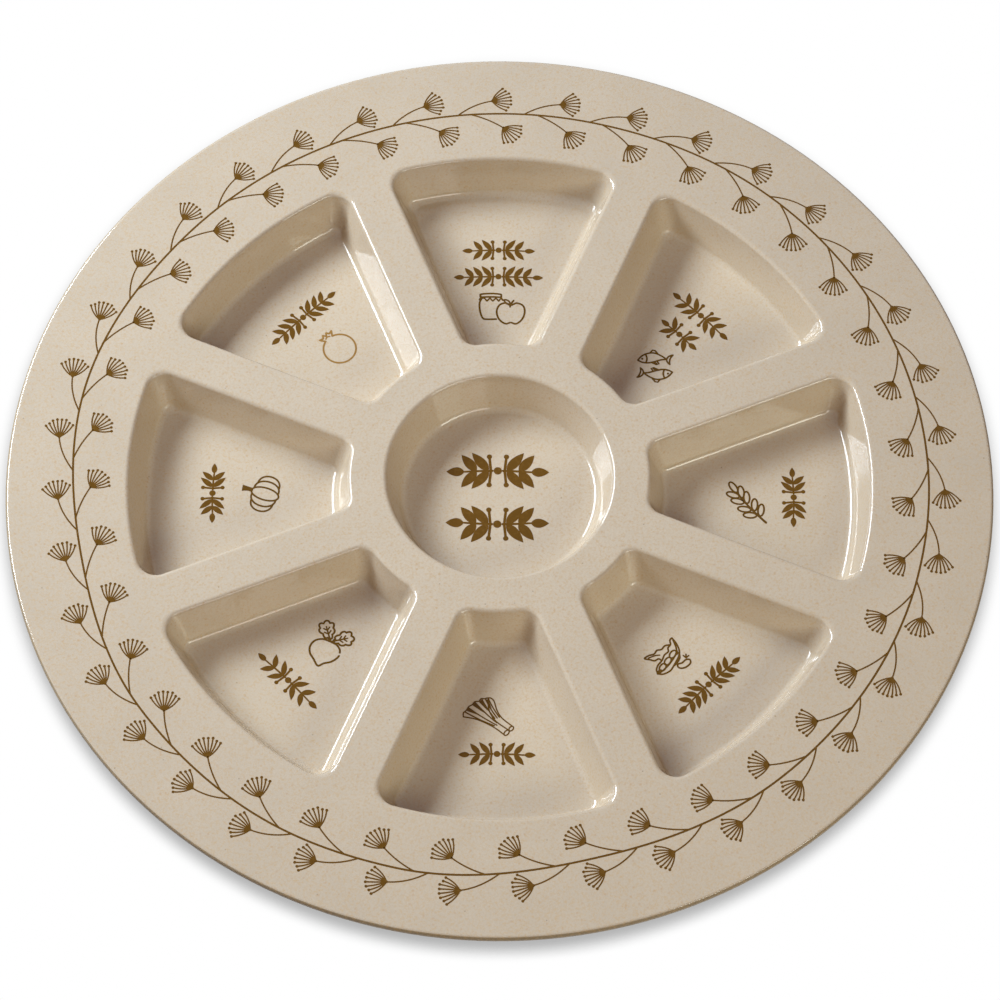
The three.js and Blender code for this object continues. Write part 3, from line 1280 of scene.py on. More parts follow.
@dataclass
class LeafGarland:
    """A row of bold leaves and berries on both sides of a short stem, with a round bud in its middle.

    A leaf's fore and aft swell are the control points of its side, as shares of its length and half width.
    The stem gap is how far from the bud its two halves start. The two berries of each half stand between
    its first leaves and the bud.
    """

    length: float
    height: float = 9.0
    pitch: float = 3.5
    first_pair: float = 2.5
    stem_gap: float = 1.5
    stem_width: float = 0.75
    stem_taper: float = 0.75
    stem_steps: int = 8
    leaf_width: float = 1.85
    leaf_steps: int = 10
    fore_swell: Point = (0.2, 1.5)
    aft_swell: Point = (0.6, 1.45)
    lean: float = 50.0
    taper: float = 0.2
    end_leaf_share: float = 0.86
    bow: float = 0.07
    bud_radius: float = 1.15
    bud_steps: int = 20
    berry_radius: float = 0.75
    berry_reach: float = 0.6
    berry_lean: float = 34.0
    berry_root: float = 0.6

    @property
    def leaf_length(self) -> float:
        """The length of the longest leaves, which reach the row's height."""
        return self.height / 2 / math.sin(math.radians(self.lean))

    @property
    def end_leaf_length(self) -> float:
        """The length of the leaf at each end."""
        return self.leaf_length * (1 - self.taper) * self.end_leaf_share

    @property
    def end(self) -> float:
        """How far from the bud the leaf at each end grows."""
        return self.length / 2 - self.end_leaf_length

    def leaf(self, pen: Pen, root: Point, heading: float, length: float) -> None:
        """Lays one pointed leaf, fullest before its middle.

        Args:
            pen: The pen that lays it.
            root: Where it grows from.
            heading: Which way it points, in degrees.
            length: Its length.
        """
        half = self.leaf_width / 2
        swells = [(length * along, half * across) for along, across in (self.fore_swell, self.aft_swell)]
        side = bezier(((0, 0), *swells, (length, 0)), self.leaf_steps)
        outline = side + [(x, -y) for x, y in reversed(side[1:-1])]
        pen.blot([plus(turned_by(point, math.radians(heading)), root) for point in outline])

    def berry(self, pen: Pen, root: Point, heading: float, size: float) -> None:
        """Draws one berry on its stalk.

        Args:
            pen: The pen that draws it.
            root: Where its stalk starts.
            heading: Which way it points, in degrees.
            size: The length of the leaf beside it.
        """
        middle = plus(root, polar(size * self.berry_reach, math.radians(heading)))
        pen.line([root, middle], self.stem_width, short=True)
        pen.dot(middle, self.berry_radius)

    def draw(self, pen: Pen, middle: Point = (0.0, 0.0), bow_sign: int = 1) -> None:
        """Draws the garland about a middle point.

        Args:
            pen: The pen that draws it.
            middle: Where its bud lies.
            bow_sign: 1 where it bows up, -1 where it bows down.
        """
        end = self.end
        pairs = max(round((end - self.first_pair) / self.pitch), 1)
        rise = self.bow * self.height * bow_sign

        def at(x: float) -> Point:
            """Gives the stem's point at a distance to the right of the bud."""
            return (middle[0] + x, middle[1] + rise * math.cos(math.pi * x / self.length))

        for side in (-1, 1):
            ahead = 0 if side > 0 else 180
            shares = [k / self.stem_steps for k in range(self.stem_steps + 1)]
            stem = [at(side * (self.stem_gap + (end - self.stem_gap) * share)) for share in shares]
            pen.line(stem, self.stem_width, self.stem_width * self.stem_taper)
            for k in range(pairs):
                x = self.first_pair + (end - self.first_pair) * k / pairs
                size = self.leaf_length * (1 - self.taper * k / pairs)
                for up in (-1, 1):
                    self.leaf(pen, at(side * x), ahead + side * self.lean * up, size)
                    if k == 0:
                        heading = ahead + side * (self.lean + self.berry_lean) * up
                        self.berry(pen, at(side * (x - self.berry_root)), heading, size)
            self.leaf(pen, at(side * end), ahead, self.end_leaf_length)
        pen.dot(at(0), self.bud_radius, self.bud_steps)


@dataclass
class WellPrint:
    """The print on one sector well's floor: a line picture of the food, and leaves outside it.

    Subclasses draw the picture about its own middle, with y up.
    """

    height: float
    food: Food
    picture_radius: float
    picture_shift: float = 0.0
    picture_turn: float = 0.0
    ornament_radius: float = 102.0
    ornament_rows: tuple[float, ...] = (24.0,)
    ornament_shift: float = 0.0
    row_gap: float = 11.3
    line_width: float = 0.78
    pale_picture: bool = False

    @property
    def angle(self) -> float:
        """The well's direction from the plate's middle in degrees."""
        return 360 * list(Food).index(self.food) / len(Food)

    @property
    def reads_inward(self) -> bool:
        """Whether the print's upper side points to the plate's middle, as it does in the front wells."""
        return 180 < self.angle < 360

    def pen_at(self, radius: float, across: float, extra_turn: float) -> Pen:
        """Gives a pen on the well's floor.

        Args:
            radius: Its distance from the plate's middle along the well's axis.
            across: Its distance to the right of the axis, as the print is read.
            extra_turn: How far it is turned beyond the print's own direction, in degrees.

        Returns:
            The pen.
        """
        upright = self.angle + 90 if self.reads_inward else self.angle - 90
        on_axis = polar(radius, math.radians(self.angle))
        place = plus(on_axis, polar(across, math.radians(upright)))
        return Pen(height=self.height, place=place, turn=upright + extra_turn)

    def draw_picture(self, pen: Pen) -> None:
        """Draws the food. Each food's own class says how."""
        raise NotImplementedError

    def build(self, leaf_ink: bpy.types.Material, picture_ink: bpy.types.Material) -> bpy.types.Object:
        """Draws the picture and its leaves as one piece.

        Args:
            leaf_ink: The leaves' ink.
            picture_ink: The picture's ink.

        Returns:
            The piece.
        """
        pen = self.pen_at(self.picture_radius, self.picture_shift, self.picture_turn)
        self.draw_picture(pen)
        picture_faces = len(pen.surface.faces)
        leaves = self.pen_at(self.ornament_radius, self.ornament_shift, 0)
        leaves.surface = pen.surface
        for row, length in enumerate(self.ornament_rows):
            y = ((len(self.ornament_rows) - 1) / 2 - row) * self.row_gap
            LeafGarland(length).draw(leaves, (0, y))
        piece = pen.surface.build(f"{self.food.value}_print", leaf_ink, smooth_faces=False)
        piece.data.materials.append(picture_ink)
        for face in piece.data.polygons[:picture_faces]:
            face.material_index = 1
        return piece


@dataclass
class DatePrint(WellPrint):
    """A branch of dates. Each pair leans a step less than the pair before it."""

    line_width: float = 0.68
    branch_share: float = 1.3
    branch_steps: int = 16
    pair_places: tuple[int, ...] = (3, 6, 10, 13)
    pair_heading: float = 170.0
    pair_lean: float = 47.0
    lean_step: float = 5.0
    tip_heading: float = 163.0
    stalk_length: float = 0.6
    date_length: float = 4.7
    date_width: float = 2.15
    date_steps: int = 28

    def draw_picture(self, pen: Pen) -> None:
        """Draws a bent branch with dates in pairs and one at its tip.

        Args:
            pen: The pen that draws it.
        """
        branch = bezier(((9.8, -2.0), (4.6, -1.6), (-0.6, -1.0), (-5.2, 0.6)), self.branch_steps)
        pen.line(branch, self.line_width * self.branch_share, self.line_width)
        for k, place in enumerate(self.pair_places):
            for side in (-1, 1):
                lean = side * (self.pair_lean - self.lean_step * k)
                self.date(pen, branch[place + (side > 0)], self.pair_heading + lean)
        self.date(pen, branch[-1], self.tip_heading)

    def date(self, pen: Pen, root: Point, heading: float) -> None:
        """Draws one date that hangs from a root on a short stalk.

        Args:
            pen: The pen that draws it.
            root: Where it hangs from.
            heading: Which way it points, in degrees.
        """
        half = self.date_length / 2
        stalk_end = plus(root, polar(self.stalk_length, math.radians(heading)))
        middle = plus(root, polar(self.stalk_length + half, math.radians(heading)))
        pen.line([root, stalk_end], self.line_width, short=True)
        pen.loop(oval(middle, half, self.date_width / 2, heading, self.date_steps), self.line_width)


@dataclass
class FishPrint(WellPrint):
    """Two fish, one above the other, that swim opposite ways."""

    line_width: float = 0.66
    fold_share: float = 0.8
    eye_radius: float = 0.42

    def draw_picture(self, pen: Pen) -> None:
        """Draws the fish pair."""
        self.fish(pen, 1, (0.1, 3.3))
        self.fish(pen, -1, (0.0, -3.4))

    def fish(self, pen: Pen, side: int, middle: Point) -> None:
        """Draws one fish.

        Args:
            pen: The pen that draws it.
            side: 1 for a fish that swims to the left, -1 for one turned half round that swims to the right.
            middle: Its body's middle.
        """
        def at(*points: Point) -> list[Point]:
            """Places points of the fish's own drawing."""
            return [(middle[0] + side * x, middle[1] + side * y) for x, y in points]

        width = self.line_width
        mouth = (-6.3, -0.9)
        tail = (4.2, -0.5)
        upper_tip = (6.5, 1.3)
        lower_tip = (5.3, -2.6)
        pen.curve(at(mouth, (-4.9, 0.8), (-2.8, 1.9), (-0.4, 2.1), (2.0, 1.1), tail), width)
        pen.curve(at(mouth, (-4.8, -1.7), (-2.6, -2.0), (0.0, -1.4), (2.2, -0.7), tail), width)
        pen.bend(at(tail, (4.6, 1.0), upper_tip), width, 6)
        pen.bend(at(tail, (4.1, -1.6), lower_tip), width, 6)
        pen.bend(at(upper_tip, (4.9, -0.3), lower_tip), width)
        pen.bend(at((-3.6, 1.7), (-2.5, -0.1), (-3.4, -1.9)), width)
        pen.line(at((-1.9, 2.1), (-0.9, 3.3), (0.0, 3.1), (1.0, 1.8)), width)
        pen.line(at((-1.3, -1.8), (0.5, -2.7), (1.4, -2.4), (0.7, -1.3)), width)
        pen.line(at((-0.6, -1.7), (0.6, -2.2)), width * self.fold_share)
        pen.dot(*at((-4.7, -0.3)), self.eye_radius)


@dataclass
class AppleHoneyPrint(WellPrint):
    """A honey jar under a cloth cap with an apple in front of it."""

    line_width: float = 0.72
    cloth_share: float = 0.85
    leaf_share: float = 0.9

    def draw_picture(self, pen: Pen) -> None:
        """Draws the jar, then the apple.

        Args:
            pen: The pen that draws it.
        """
        width = self.line_width
        lid = [
            (-7.6, 6.1), (-4.0, 6.4), (-0.6, 6.1), (-0.3, 5.5),
            (-0.6, 4.9), (-4.0, 5.0), (-7.6, 4.9), (-7.9, 5.5),
        ]
        pen.curve(lid, width, 4, closed=True)
        cloth = [
            (-7.7, 5.0), (-8.3, 3.7), (-7.4, 4.3), (-6.5, 4.5), (-5.5, 3.2), (-4.4, 4.5),
            (-3.4, 3.2), (-2.2, 4.5), (-1.2, 3.2), (-0.4, 4.4), (0.4, 3.5), (-0.5, 5.0),
        ]
        pen.strokes(cloth, width * self.cloth_share)
        jar = [(-7.6, 4.0), (-8.2, 2.4), (-8.1, -0.4), (-7.4, -3.2), (-6.6, -4.3), (-5.4, -4.5), (-2.0, -4.4)]
        pen.curve(jar, width)
        apple = [
            (3.2, 1.5), (5.4, 2.4), (7.7, 1.4), (8.4, -1.2), (7.5, -4.3), (5.3, -6.3),
            (3.3, -5.8), (1.3, -6.3), (-1.0, -4.4), (-1.9, -1.3), (-1.0, 1.4), (1.1, 2.4),
        ]
        pen.curve(apple, width, 5, closed=True)
        pen.bend([(3.0, 0.8), (3.3, 2.2), (4.3, 3.5)], width, 6)
        root = (3.2, 1.9)
        tip = (0.8, 3.8)
        leaf = bezier([root, (2.6, 4.0), tip], 7) + bezier([tip, (0.9, 2.2), root], 7)[1:-1]
        pen.loop(leaf, width * self.leaf_share)


@dataclass
class PomegranatePrint(WellPrint):
    """A whole pomegranate with its crown, whose gap in the fruit's outline is in degrees to each side."""

    line_width: float = 0.7
    pale_picture: bool = True
    fruit_middle: Point = (0.0, -1.2)
    fruit_radius: float = 5.95
    fruit_steps: int = 48
    crown_gap: float = 16.0
    fold_share: float = 0.8

    def draw_picture(self, pen: Pen) -> None:
        """Draws the fruit as an open circle and its crown of points.

        Args:
            pen: The pen that draws it.
        """
        width = self.line_width
        ends = (90 + self.crown_gap, 450 - self.crown_gap)
        pen.line(arc(self.fruit_middle, self.fruit_radius, *ends, self.fruit_steps), width)
        crown = [
            (-1.6, 4.5), (-2.9, 6.4), (-1.5, 6.0), (-0.7, 7.1), (0.0, 5.9),
            (0.9, 7.1), (1.5, 6.0), (2.9, 6.4), (1.6, 4.5),
        ]
        pen.strokes(crown, width)
        pen.line([(-0.9, 5.2), (-0.1, 5.6), (0.9, 5.1)], width * self.fold_share)


@dataclass
class GourdPrint(WellPrint):
    """A ribbed pumpkin on its side."""

    line_width: float = 0.68
    rib_steps: int = 20

    def draw_picture(self, pen: Pen) -> None:
        """Draws the ribs outside one another and the stalk as a blot.

        Args:
            pen: The pen that draws it.
        """
        width = self.line_width
        pen.loop(oval((0, -0.5), 2.4, 5.1), width)
        for side in (-1, 1):
            near = ((side * 1.1, 4.0), (side * 6.3, 4.7), (side * 6.3, -5.8), (side * 1.1, -5.0))
            far = ((side * 3.3, 3.4), (side * 8.5, 3.7), (side * 8.3, -4.8), (side * 3.3, -4.6))
            pen.bend(near, width, self.rib_steps)
            pen.bend(far, width, self.rib_steps)
        left = bezier([(-0.8, 4.1), (-0.4, 5.8), (-1.5, 7.8)], 6)
        right = bezier([(1.0, 8.3), (0.9, 6.0), (0.9, 4.1)], 6)
        pen.blot(left + right)


@dataclass
class BeetPrint(WellPrint):
    """A round beet with its tail and two lobed leaves.

    A leaf's outline is an egg of its half width and half length, narrow at its root. Its lobes stand out from
    the edge's low by their height.
    """

    line_width: float = 0.74
    crown: Point = (0.6, 1.3)
    leaf_turns: tuple[float, ...] = (38.0, -55.0)
    leaf_scale: float = 1.02
    leaf_middle: float = 4.5
    leaf_half_length: float = 3.45
    leaf_half_width: float = 3.35
    leaf_steps: int = 60
    lobes: int = 7
    lobe_low: float = 0.84
    lobe_height: float = 0.24
    egg_mean: float = 0.74
    egg_swing: float = 0.26
    rib_share: float = 0.7
    vein_share: float = 0.75

    def draw_picture(self, pen: Pen) -> None:
        """Draws the root, which stays open at one shine, then the leaves.

        Args:
            pen: The pen that draws it.
        """
        outline = [
            self.crown, (-2.4, 1.2), (-4.7, -0.4), (-5.4, -3.0), (-4.4, -5.4), (-2.4, -7.0), (0.1, -8.9),
            (1.7, -7.3), (3.9, -5.7), (5.2, -3.7), (5.5, -2.6),
        ]
        pen.curve(outline, self.line_width)
        pen.curve([(5.3, -1.4), (4.6, -0.1), (2.9, 1.0), self.crown], self.line_width)
        for turn in self.leaf_turns:
            self.leaf(pen, turn)

    def leaf(self, pen: Pen, turn: float) -> None:
        """Draws one leaf with round lobes on its stalk.

        Args:
            pen: The pen that draws it.
            turn: How far it leans to the left, in degrees.
        """
        def at(*points: Point) -> list[Point]:
            """Places points of the leaf's own drawing."""
            scaled = [(x * self.leaf_scale, y * self.leaf_scale) for x, y in points]
            return [plus(turned_by(point, math.radians(turn)), self.crown) for point in scaled]

        outline = []
        for k in range(self.leaf_steps):
            angle = FULL_TURN * k / self.leaf_steps
            bulge = self.lobe_low + self.lobe_height * abs(math.sin((self.lobes + 0.5) * angle / 2))
            egg = self.egg_mean - self.egg_swing * math.cos(angle)
            x = self.leaf_half_width * bulge * egg * math.sin(angle)
            outline.append((x, self.leaf_middle - self.leaf_half_length * bulge * math.cos(angle)))
        pen.loop(at(*outline), self.line_width)
        pen.line(at((0, 0), (0, 2.1), (0, 6.0)), self.line_width, self.line_width * self.rib_share)
        for side in (-1, 1):
            pen.strokes(at((0, 3.0), (side * 1.2, 4.1)), self.line_width * self.vein_share)
            pen.strokes(at((0, 4.5), (side * 1.1, 5.5)), self.line_width * self.vein_share)


@dataclass
class LeekPrint(WellPrint):
    """Two leeks, whose leaves fan out at one end."""

    line_width: float = 0.5
    leaf_sag: float = 0.5

    def draw_picture(self, pen: Pen) -> None:
        """Draws the stalks with their round cut ends, then the leaves and the dark gaps between them.

        Args:
            pen: The pen that draws it.
        """
        width = self.line_width
        upper_tip = (-4.6, 5.9)
        lower_tip = (-7.6, -5.6)
        pen.loop(oval((8.0, -1.1), 0.7, 1.15), width)
        pen.loop(oval((8.3, 1.15), 0.65, 1.0), width)
        pen.curve([(8.3, 2.1), (3.4, 2.3), (0.2, 3.5), (-2.9, 5.7), upper_tip], width)
        pen.curve([(7.9, -2.2), (3.0, -2.2), (-3.0, -3.4), lower_tip], width)
        pen.curve([(7.6, 0.1), (2.2, 0.1), (-1.8, 1.7), (-4.6, 4.4)], width)
        tips = [
            upper_tip, (-5.6, 5.0), (-6.0, 4.4), (-7.0, 3.6), (-7.0, 2.4), (-8.0, 1.4),
            (-8.0, 0.0), (-8.5, -1.4), (-8.3, -3.0), (-8.5, -4.4), lower_tip,
        ]
        pen.curve(tips, width, 4)
        leaves = (
            ((2.4, 2.0), (-5.2, 5.3)),
            ((1.4, 0.7), (-6.6, 3.6)),
            ((3.0, -0.2), (-7.6, 1.2)),
            ((3.6, -0.9), (-8.2, -1.8)),
            ((3.0, -1.6), (-8.3, -3.8)),
            ((2.0, 1.3), (-5.8, 4.5)),
        )
        for start, end in leaves:
            middle = ((start[0] + end[0]) / 2, (start[1] + end[1]) / 2 - self.leaf_sag)
            pen.bend([start, middle, end], width)
        gaps = (
            ((-1.6, 2.9), (-5.6, 4.2), (-5.0, 5.0)),
            ((-2.2, 1.4), (-7.0, 2.2), (-6.6, 3.4)),
            ((-2.8, 0.0), (-8.0, -0.2), (-7.8, 1.1)),
            ((-3.0, -1.6), (-8.3, -3.2), (-8.2, -2.0)),
        )
        for gap in gaps:
            pen.blot(gap)


@dataclass
class BlackEyedPeaPrint(WellPrint):
    """An open pod with its beans, a leaf behind it and one sprouting bean beside it."""

    line_width: float = 0.64
    vein_share: float = 0.8
    sprout_share: float = 0.9

    def draw_picture(self, pen: Pen) -> None:
        """Draws the pod with its beans, then the leaf and the single bean.

        Args:
            pen: The pen that draws it.
        """
        width = self.line_width
        top = (0.9, 7.1)
        foot = (-4.0, -6.8)
        right_side = [top, (2.3, 5.2), (3.4, 2.6), (3.3, 0.2), (1.6, -3.4), (0.2, -5.6), (-2.2, -6.9), foot]
        left_side = [
            top, (0.2, 6.2), (0.4, 4.6), (-0.5, 3.2), (-0.4, 1.8), (-1.8, 0.4), (-2.6, -1.6), (-4.0, -3.4),
            (-4.6, -5.4), foot,
        ]
        seam = [(1.3, 6.3), (2.4, 3.2), (2.2, 0.8), (0.4, -2.4), (-1.4, -4.6), (-3.4, -6.4)]
        fold = [(3.4, 1.4), (3.6, -0.6), (2.6, -2.6), (1.6, -3.6)]
        for line in (right_side, left_side, seam, fold):
            pen.curve(line, width)
        for middle in ((1.2, 0.8), (-0.6, -1.9), (-2.4, -4.3)):
            pen.loop(oval(middle, 1.65, 1.0, 58, 20), width)
        pen.blot([(2.4, 3.6), (3.3, 1.2), (2.6, 0.4), (2.2, 1.4)])
        pen.blot(oval((-3.6, -6.1), 1.3, 0.75, 48, 14))
        leaf = [
            (0.1, 4.4), (-1.6, 4.0), (-2.8, 2.6), (-4.4, 2.2), (-5.4, 0.8), (-7.2, 0.2), (-8.8, -1.0),
            (-6.8, -1.4), (-5.2, -1.8), (-3.8, -1.0), (-2.7, -1.8),
        ]
        pen.curve(leaf, width, 5)
        pen.curve([(-7.4, -0.8), (-5.0, 0.2), (-3.4, 0.4)], width * self.vein_share, 5)
        bean = [
            (3.0, -3.0), (4.4, -2.5), (5.7, -1.3), (7.1, -1.2),
            (7.3, -2.6), (5.8, -4.1), (4.0, -4.6), (2.9, -4.0),
        ]
        pen.curve(bean, width, 5, closed=True)
        for tip in ((4.8, 0.4), (5.8, 0.9), (6.8, 0.4)):
            pen.strokes([(5.8, -0.6), tip], width * self.sprout_share)


@dataclass
class CentreGarlands:
    """The ornament on the centre well's floor: two large garlands of leaves, one over the other."""

    height: float
    middle: Point = (-0.7, -0.9)
    length: float = 37.0
    scale: float = 1.3
    row_gap: float = 19.4
    row_height: float = 14.6
    leaf_width: float = 3.3
    leaf_pitch: float = 4.6

    def build(self, ink: bpy.types.Material) -> bpy.types.Object:
        """Draws both garlands.

        Args:
            ink: The ink's material.

        Returns:
            The piece.
        """
        pen = Pen(height=self.height, place=self.middle, scale=self.scale)
        garland = LeafGarland(
            self.length / self.scale,
            height=self.row_height / self.scale,
            pitch=self.leaf_pitch / self.scale,
            leaf_width=self.leaf_width / self.scale,
        )
        for sign in (1, -1):
            garland.draw(pen, (0, sign * self.row_gap / 2 / self.scale), sign)
        return pen.surface.build("centre_print", ink, smooth_faces=False)


@dataclass
class Prints:
    """All the print of the plate: the vine, the garlands and the eight foods."""

    land_top: float
    floor_top: float
    vine_ink: InkFinish = InkFinish("vine_ink", base=(105, 73, 18), edge=(128, 93, 38))
    leaf_ink: InkFinish = InkFinish("leaf_ink")
    line_ink: InkFinish = InkFinish("line_ink", base=(100, 71, 23), edge=(120, 89, 40))
    pale_ink: InkFinish = InkFinish("pale_ink", base=(156, 120, 65), edge=(174, 140, 86))

    def wells(self) -> list[WellPrint]:
        """Gives the print of each sector well.

        Returns:
            The prints, in the order of the foods.
        """
        at = {"height": self.floor_top}
        return [
            DatePrint(**at, food=Food.DATE, picture_radius=89.0, picture_shift=2.4, picture_turn=50,
                      ornament_radius=104.7, ornament_rows=(24,)),
            FishPrint(**at, food=Food.FISH, picture_radius=77.4, picture_shift=2.0, picture_turn=45,
                      ornament_radius=98.2, ornament_shift=-1.0, ornament_rows=(28, 18)),
            AppleHoneyPrint(**at, food=Food.APPLE_HONEY, picture_radius=76.9, picture_shift=0.2,
                            ornament_radius=95.5, ornament_shift=-1.2, ornament_rows=(27, 33)),
            PomegranatePrint(**at, food=Food.POMEGRANATE, picture_radius=85.0, picture_shift=0.6,
                             ornament_radius=102.1, ornament_rows=(32,)),
            GourdPrint(**at, food=Food.GOURD, picture_radius=84.5, picture_turn=-18, ornament_radius=102.2,
                       ornament_rows=(24,)),
            BeetPrint(**at, food=Food.BEET, picture_radius=84.3, picture_shift=-0.4, picture_turn=23,
                      ornament_radius=104.3, ornament_rows=(30,)),
            LeekPrint(**at, food=Food.LEEK, picture_radius=87.0, picture_shift=-2.4, picture_turn=-37.6,
                      ornament_radius=101.4, ornament_rows=(27,)),
            BlackEyedPeaPrint(**at, food=Food.BLACK_EYED_PEA, picture_radius=87.1, picture_shift=-2.0,
                              picture_turn=-45, ornament_radius=104.9, ornament_rows=(31,)),
        ]

    def build(self) -> None:
        """Makes every print and says which foil of the solids it stands for."""
        inks = (self.vine_ink, self.leaf_ink, self.line_ink, self.pale_ink)
        vine_ink, leaf_ink, line_ink, pale_ink = (ink.build() for ink in inks)
        self.attach(RimVine(height=self.land_top).build(vine_ink), "rim_foil")
        self.attach(CentreGarlands(height=self.floor_top).build(leaf_ink), "centre_foil")
        for well in self.wells():
            piece = well.build(leaf_ink, pale_ink if well.pale_picture else line_ink)
            self.attach(piece, f"{well.food.value}_foil")

    @staticmethod
    def attach(piece: bpy.types.Object, foil: str) -> None:
        """Lets a print ride on the plate in place of its foil.

        Args:
            piece: The print.
            foil: The name of the foil's solid.
        """
        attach(piece, "root")
        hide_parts(foil)
        log.info("%s stands for %s with %d faces", piece.name, foil, len(piece.data.polygons))


def background_rays(tree: bpy.types.NodeTree) -> bpy.types.NodeSocket:
    """Adds a value that is 1 for rays that show the background: seen, mirrored or through glass.

    Args:
        tree: The node tree of the world or of a material.

    Returns:
        The value.
    """
    path = tree.nodes.new("ShaderNodeLightPath")
    share = path.outputs["Is Camera Ray"]
    for kind in ("Is Glossy Ray", "Is Transmission Ray"):
        either = tree.nodes.new("ShaderNodeMath")
        either.operation = "MAXIMUM"
        tree.links.new(share, either.inputs[0])
        tree.links.new(path.outputs[kind], either.inputs[1])
        share = either.outputs["Value"]
    return share


@dataclass(frozen=True)
class Lamp:
    """A flat soft lamp that faces the plate.

    Its direction is its angle from +X and its height above the table in degrees, its size is its width and
    height, its power is in watts.
    """

    name: str
    direction: tuple[float, float]
    distance: float
    size: tuple[float, float]
    power: float
    colour: Colour

    def build(self) -> None:
        """Adds the lamp to the scene."""
        data = bpy.data.lights.new(self.name, "AREA")
        data.shape = "RECTANGLE"
        data.size, data.size_y = (length * MM for length in self.size)
        data.energy = self.power
        data.color = self.colour
        azimuth, height = (math.radians(angle) for angle in self.direction)
        x, y = polar(math.cos(height), azimuth)
        towards = Vector((x, y, math.sin(height)))
        lamp = bpy.data.objects.new(self.name, data)
        lamp.location = towards * self.distance * MM
        lamp.rotation_euler = towards.to_track_quat("Z", "Y").to_euler()
        bpy.context.scene.collection.objects.link(lamp)


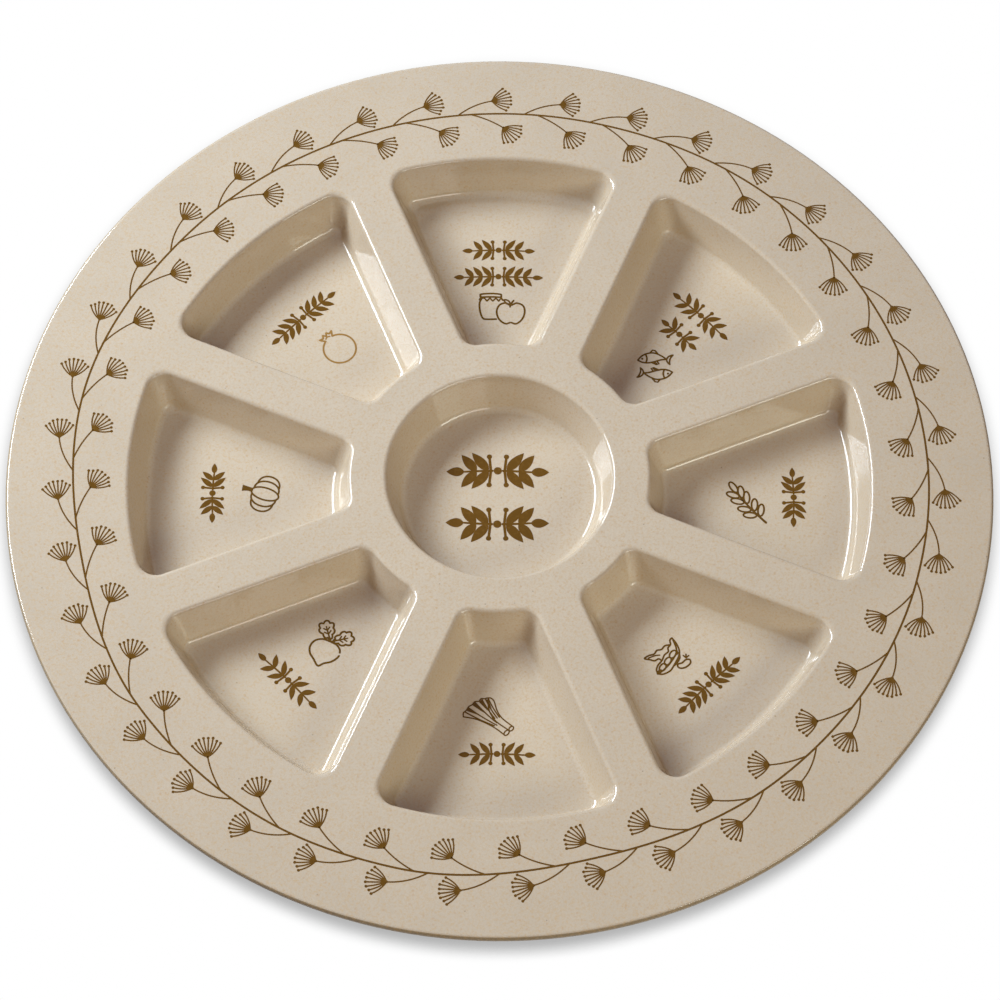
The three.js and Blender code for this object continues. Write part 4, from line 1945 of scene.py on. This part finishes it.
@dataclass
class Studio:
    """The camera, the lamps and the white table of the photograph.

    The camera's azimuth, elevation and roll are in degrees, and it looks at the aim at the land's height. The
    shadow's core and edge each hold how open the sky is, seen from the table there, and how bright the table
    looks. That openness is measured within the shadow's reach about a direction that leans from upright by
    the shadow's lean, in degrees.
    """

    land_top: float
    azimuth: float = 0.596
    elevation: float = 62.93
    roll: float = -0.116
    distance: float = 1400.4
    aim: Point = (0.28, -10.1)
    focal_length: float = 142.67
    sensor: float = 36.0
    nearest: float = 50.0
    farthest: float = 50000.0
    key: Lamp = Lamp("key_lamp", (146.0, 35.5), 1200.0, (860.0, 340.0), 20.9, (0.818, 0.909, 1.0))
    front: Lamp = Lamp("front_lamp", (291.0, 28.0), 1200.0, (380.0, 350.0), 1.9, (1.0, 0.93, 0.84))
    side: Lamp = Lamp("side_lamp", (314.0, 32.0), 1200.0, (460.0, 350.0), 3.8, (0.97, 1.0, 0.85))
    sky_strength: float = 0.09
    sky_colour: Colour = (1.0, 0.2, 0.0)
    table_size: float = 8000.0
    table_drop: float = 0.05
    table_grey: float = 0.15
    shadow_reach: float = 150.0
    shadow_core: tuple[float, float] = (0.52, 0.455)
    shadow_edge: tuple[float, float] = (0.715, 1.0)
    shadow_lean: float = 20.0
    shadow_samples: int = 64

    def add_camera(self) -> None:
        """Places the camera where the photograph was taken from."""
        a, e, r = (math.radians(v) for v in (self.azimuth, self.elevation, self.roll))
        back = Vector((math.sin(a) * math.cos(e), -math.cos(a) * math.cos(e), math.sin(e)))
        level = Vector((math.cos(a), math.sin(a), 0))
        upright = back.cross(level)
        right = level * math.cos(r) + upright * math.sin(r)
        up = upright * math.cos(r) - level * math.sin(r)
        place = Vector((*self.aim, self.land_top)) + back * self.distance
        data = bpy.data.cameras.new("camera")
        data.lens = self.focal_length
        data.sensor_width = self.sensor
        data.sensor_fit = "HORIZONTAL"
        data.clip_start = self.nearest * MM
        data.clip_end = self.farthest * MM
        camera = bpy.data.objects.new("camera", data)
        rows = Matrix((right, up, back)).transposed().to_4x4()
        camera.matrix_world = Matrix.Translation(place * MM) @ rows
        bpy.context.scene.collection.objects.link(camera)
        bpy.context.scene.camera = camera

    def add_surroundings(self) -> None:
        """Sets the pale surroundings: white to the camera, softer as a light."""
        world = bpy.data.worlds.new("surroundings")
        world.use_nodes = True
        tree = world.node_tree
        tree.nodes.clear()
        soft = tree.nodes.new("ShaderNodeBackground")
        soft.inputs["Color"].default_value = (*self.sky_colour, 1)
        soft.inputs["Strength"].default_value = self.sky_strength
        white = tree.nodes.new("ShaderNodeBackground")
        white.inputs["Strength"].default_value = 1.0
        white.inputs["Color"].default_value = (1, 1, 1, 1)
        mix = tree.nodes.new("ShaderNodeMixShader")
        output = tree.nodes.new("ShaderNodeOutputWorld")
        tree.links.new(background_rays(tree), mix.inputs["Fac"])
        tree.links.new(soft.outputs["Background"], mix.inputs[1])
        tree.links.new(white.outputs["Background"], mix.inputs[2])
        tree.links.new(mix.outputs["Shader"], output.inputs["Surface"])
        bpy.context.scene.world = world

    def add_table(self) -> None:
        """Adds the white table, which keeps the plate's soft shadow."""
        nodes = Nodes("white_table")
        paint = nodes.add("BsdfDiffuse")
        paint.inputs["Color"].default_value = (self.table_grey, self.table_grey, self.table_grey, 1)
        shade = nodes.add("AmbientOcclusion", samples=self.shadow_samples)
        shade.inputs["Distance"].default_value = self.shadow_reach * MM
        lean = nodes.add("CombineXYZ")
        lean.inputs["Y"].default_value = -math.sin(math.radians(self.shadow_lean))
        lean.inputs["Z"].default_value = math.cos(math.radians(self.shadow_lean))
        nodes.link(lean.outputs["Vector"], shade.inputs["Normal"])
        ends = zip(self.shadow_core, self.shadow_edge)
        bright = nodes.ranged(shade.outputs["AO"], *ends, interpolation_type="SMOOTHSTEP")
        glow = nodes.add("Emission")
        nodes.link(bright, glow.inputs["Strength"])
        both = nodes.add("MixShader")
        nodes.link(background_rays(nodes.tree), both.inputs["Fac"])
        nodes.link(paint.outputs["BSDF"], both.inputs[1])
        nodes.link(glow.outputs["Emission"], both.inputs[2])
        surface = Surface()
        half = self.table_size / 2
        corners = [(-half, -half), (half, -half), (half, half), (-half, half)]
        surface.faces.append(tuple(surface.ring(corners, -self.table_drop)))
        table = surface.build("table", nodes.finish(both.outputs["Shader"]), smooth_faces=False)

    def build(self) -> None:
        """Sets up the whole studio."""
        self.add_camera()
        self.add_surroundings()
        for lamp in (self.key, self.front, self.side):
            lamp.build()
        self.add_table()
        bpy.context.scene.view_settings.view_transform = "Standard"


def main() -> None:
    """Builds the studio, the moulding and its print in order."""
    logging.basicConfig(level=logging.INFO, format="%(name)s: %(message)s")
    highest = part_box("plate_moulding")[1]
    rim_radius = highest.x / MM
    land_top = highest.z / MM
    floor_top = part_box("centre_foil")[1].z / MM
    Studio(land_top=land_top).build()
    log.info("rim radius %.2f, land at %.2f, floors at %.2f", rim_radius, land_top, floor_top)
    plate = Moulding(rim_radius=rim_radius, land_top=land_top, floor_top=floor_top)
    # The rim edge's finish: a duller gloss, and a darker colour that is painted shade.
    dull_painted_shade_edge = MelamineFinish("rim_edge_painted_shade", base=(160, 144, 118), roughness=0.4, shine=0.2)
    skin = plate.build(MelamineFinish(), dull_painted_shade_edge)
    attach(skin, "root")
    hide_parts("plate_moulding")
    log.info("%s has %d faces", skin.name, len(skin.data.polygons))
    Prints(land_top=land_top, floor_top=floor_top).build()


if __name__ == "__main__":
    main()
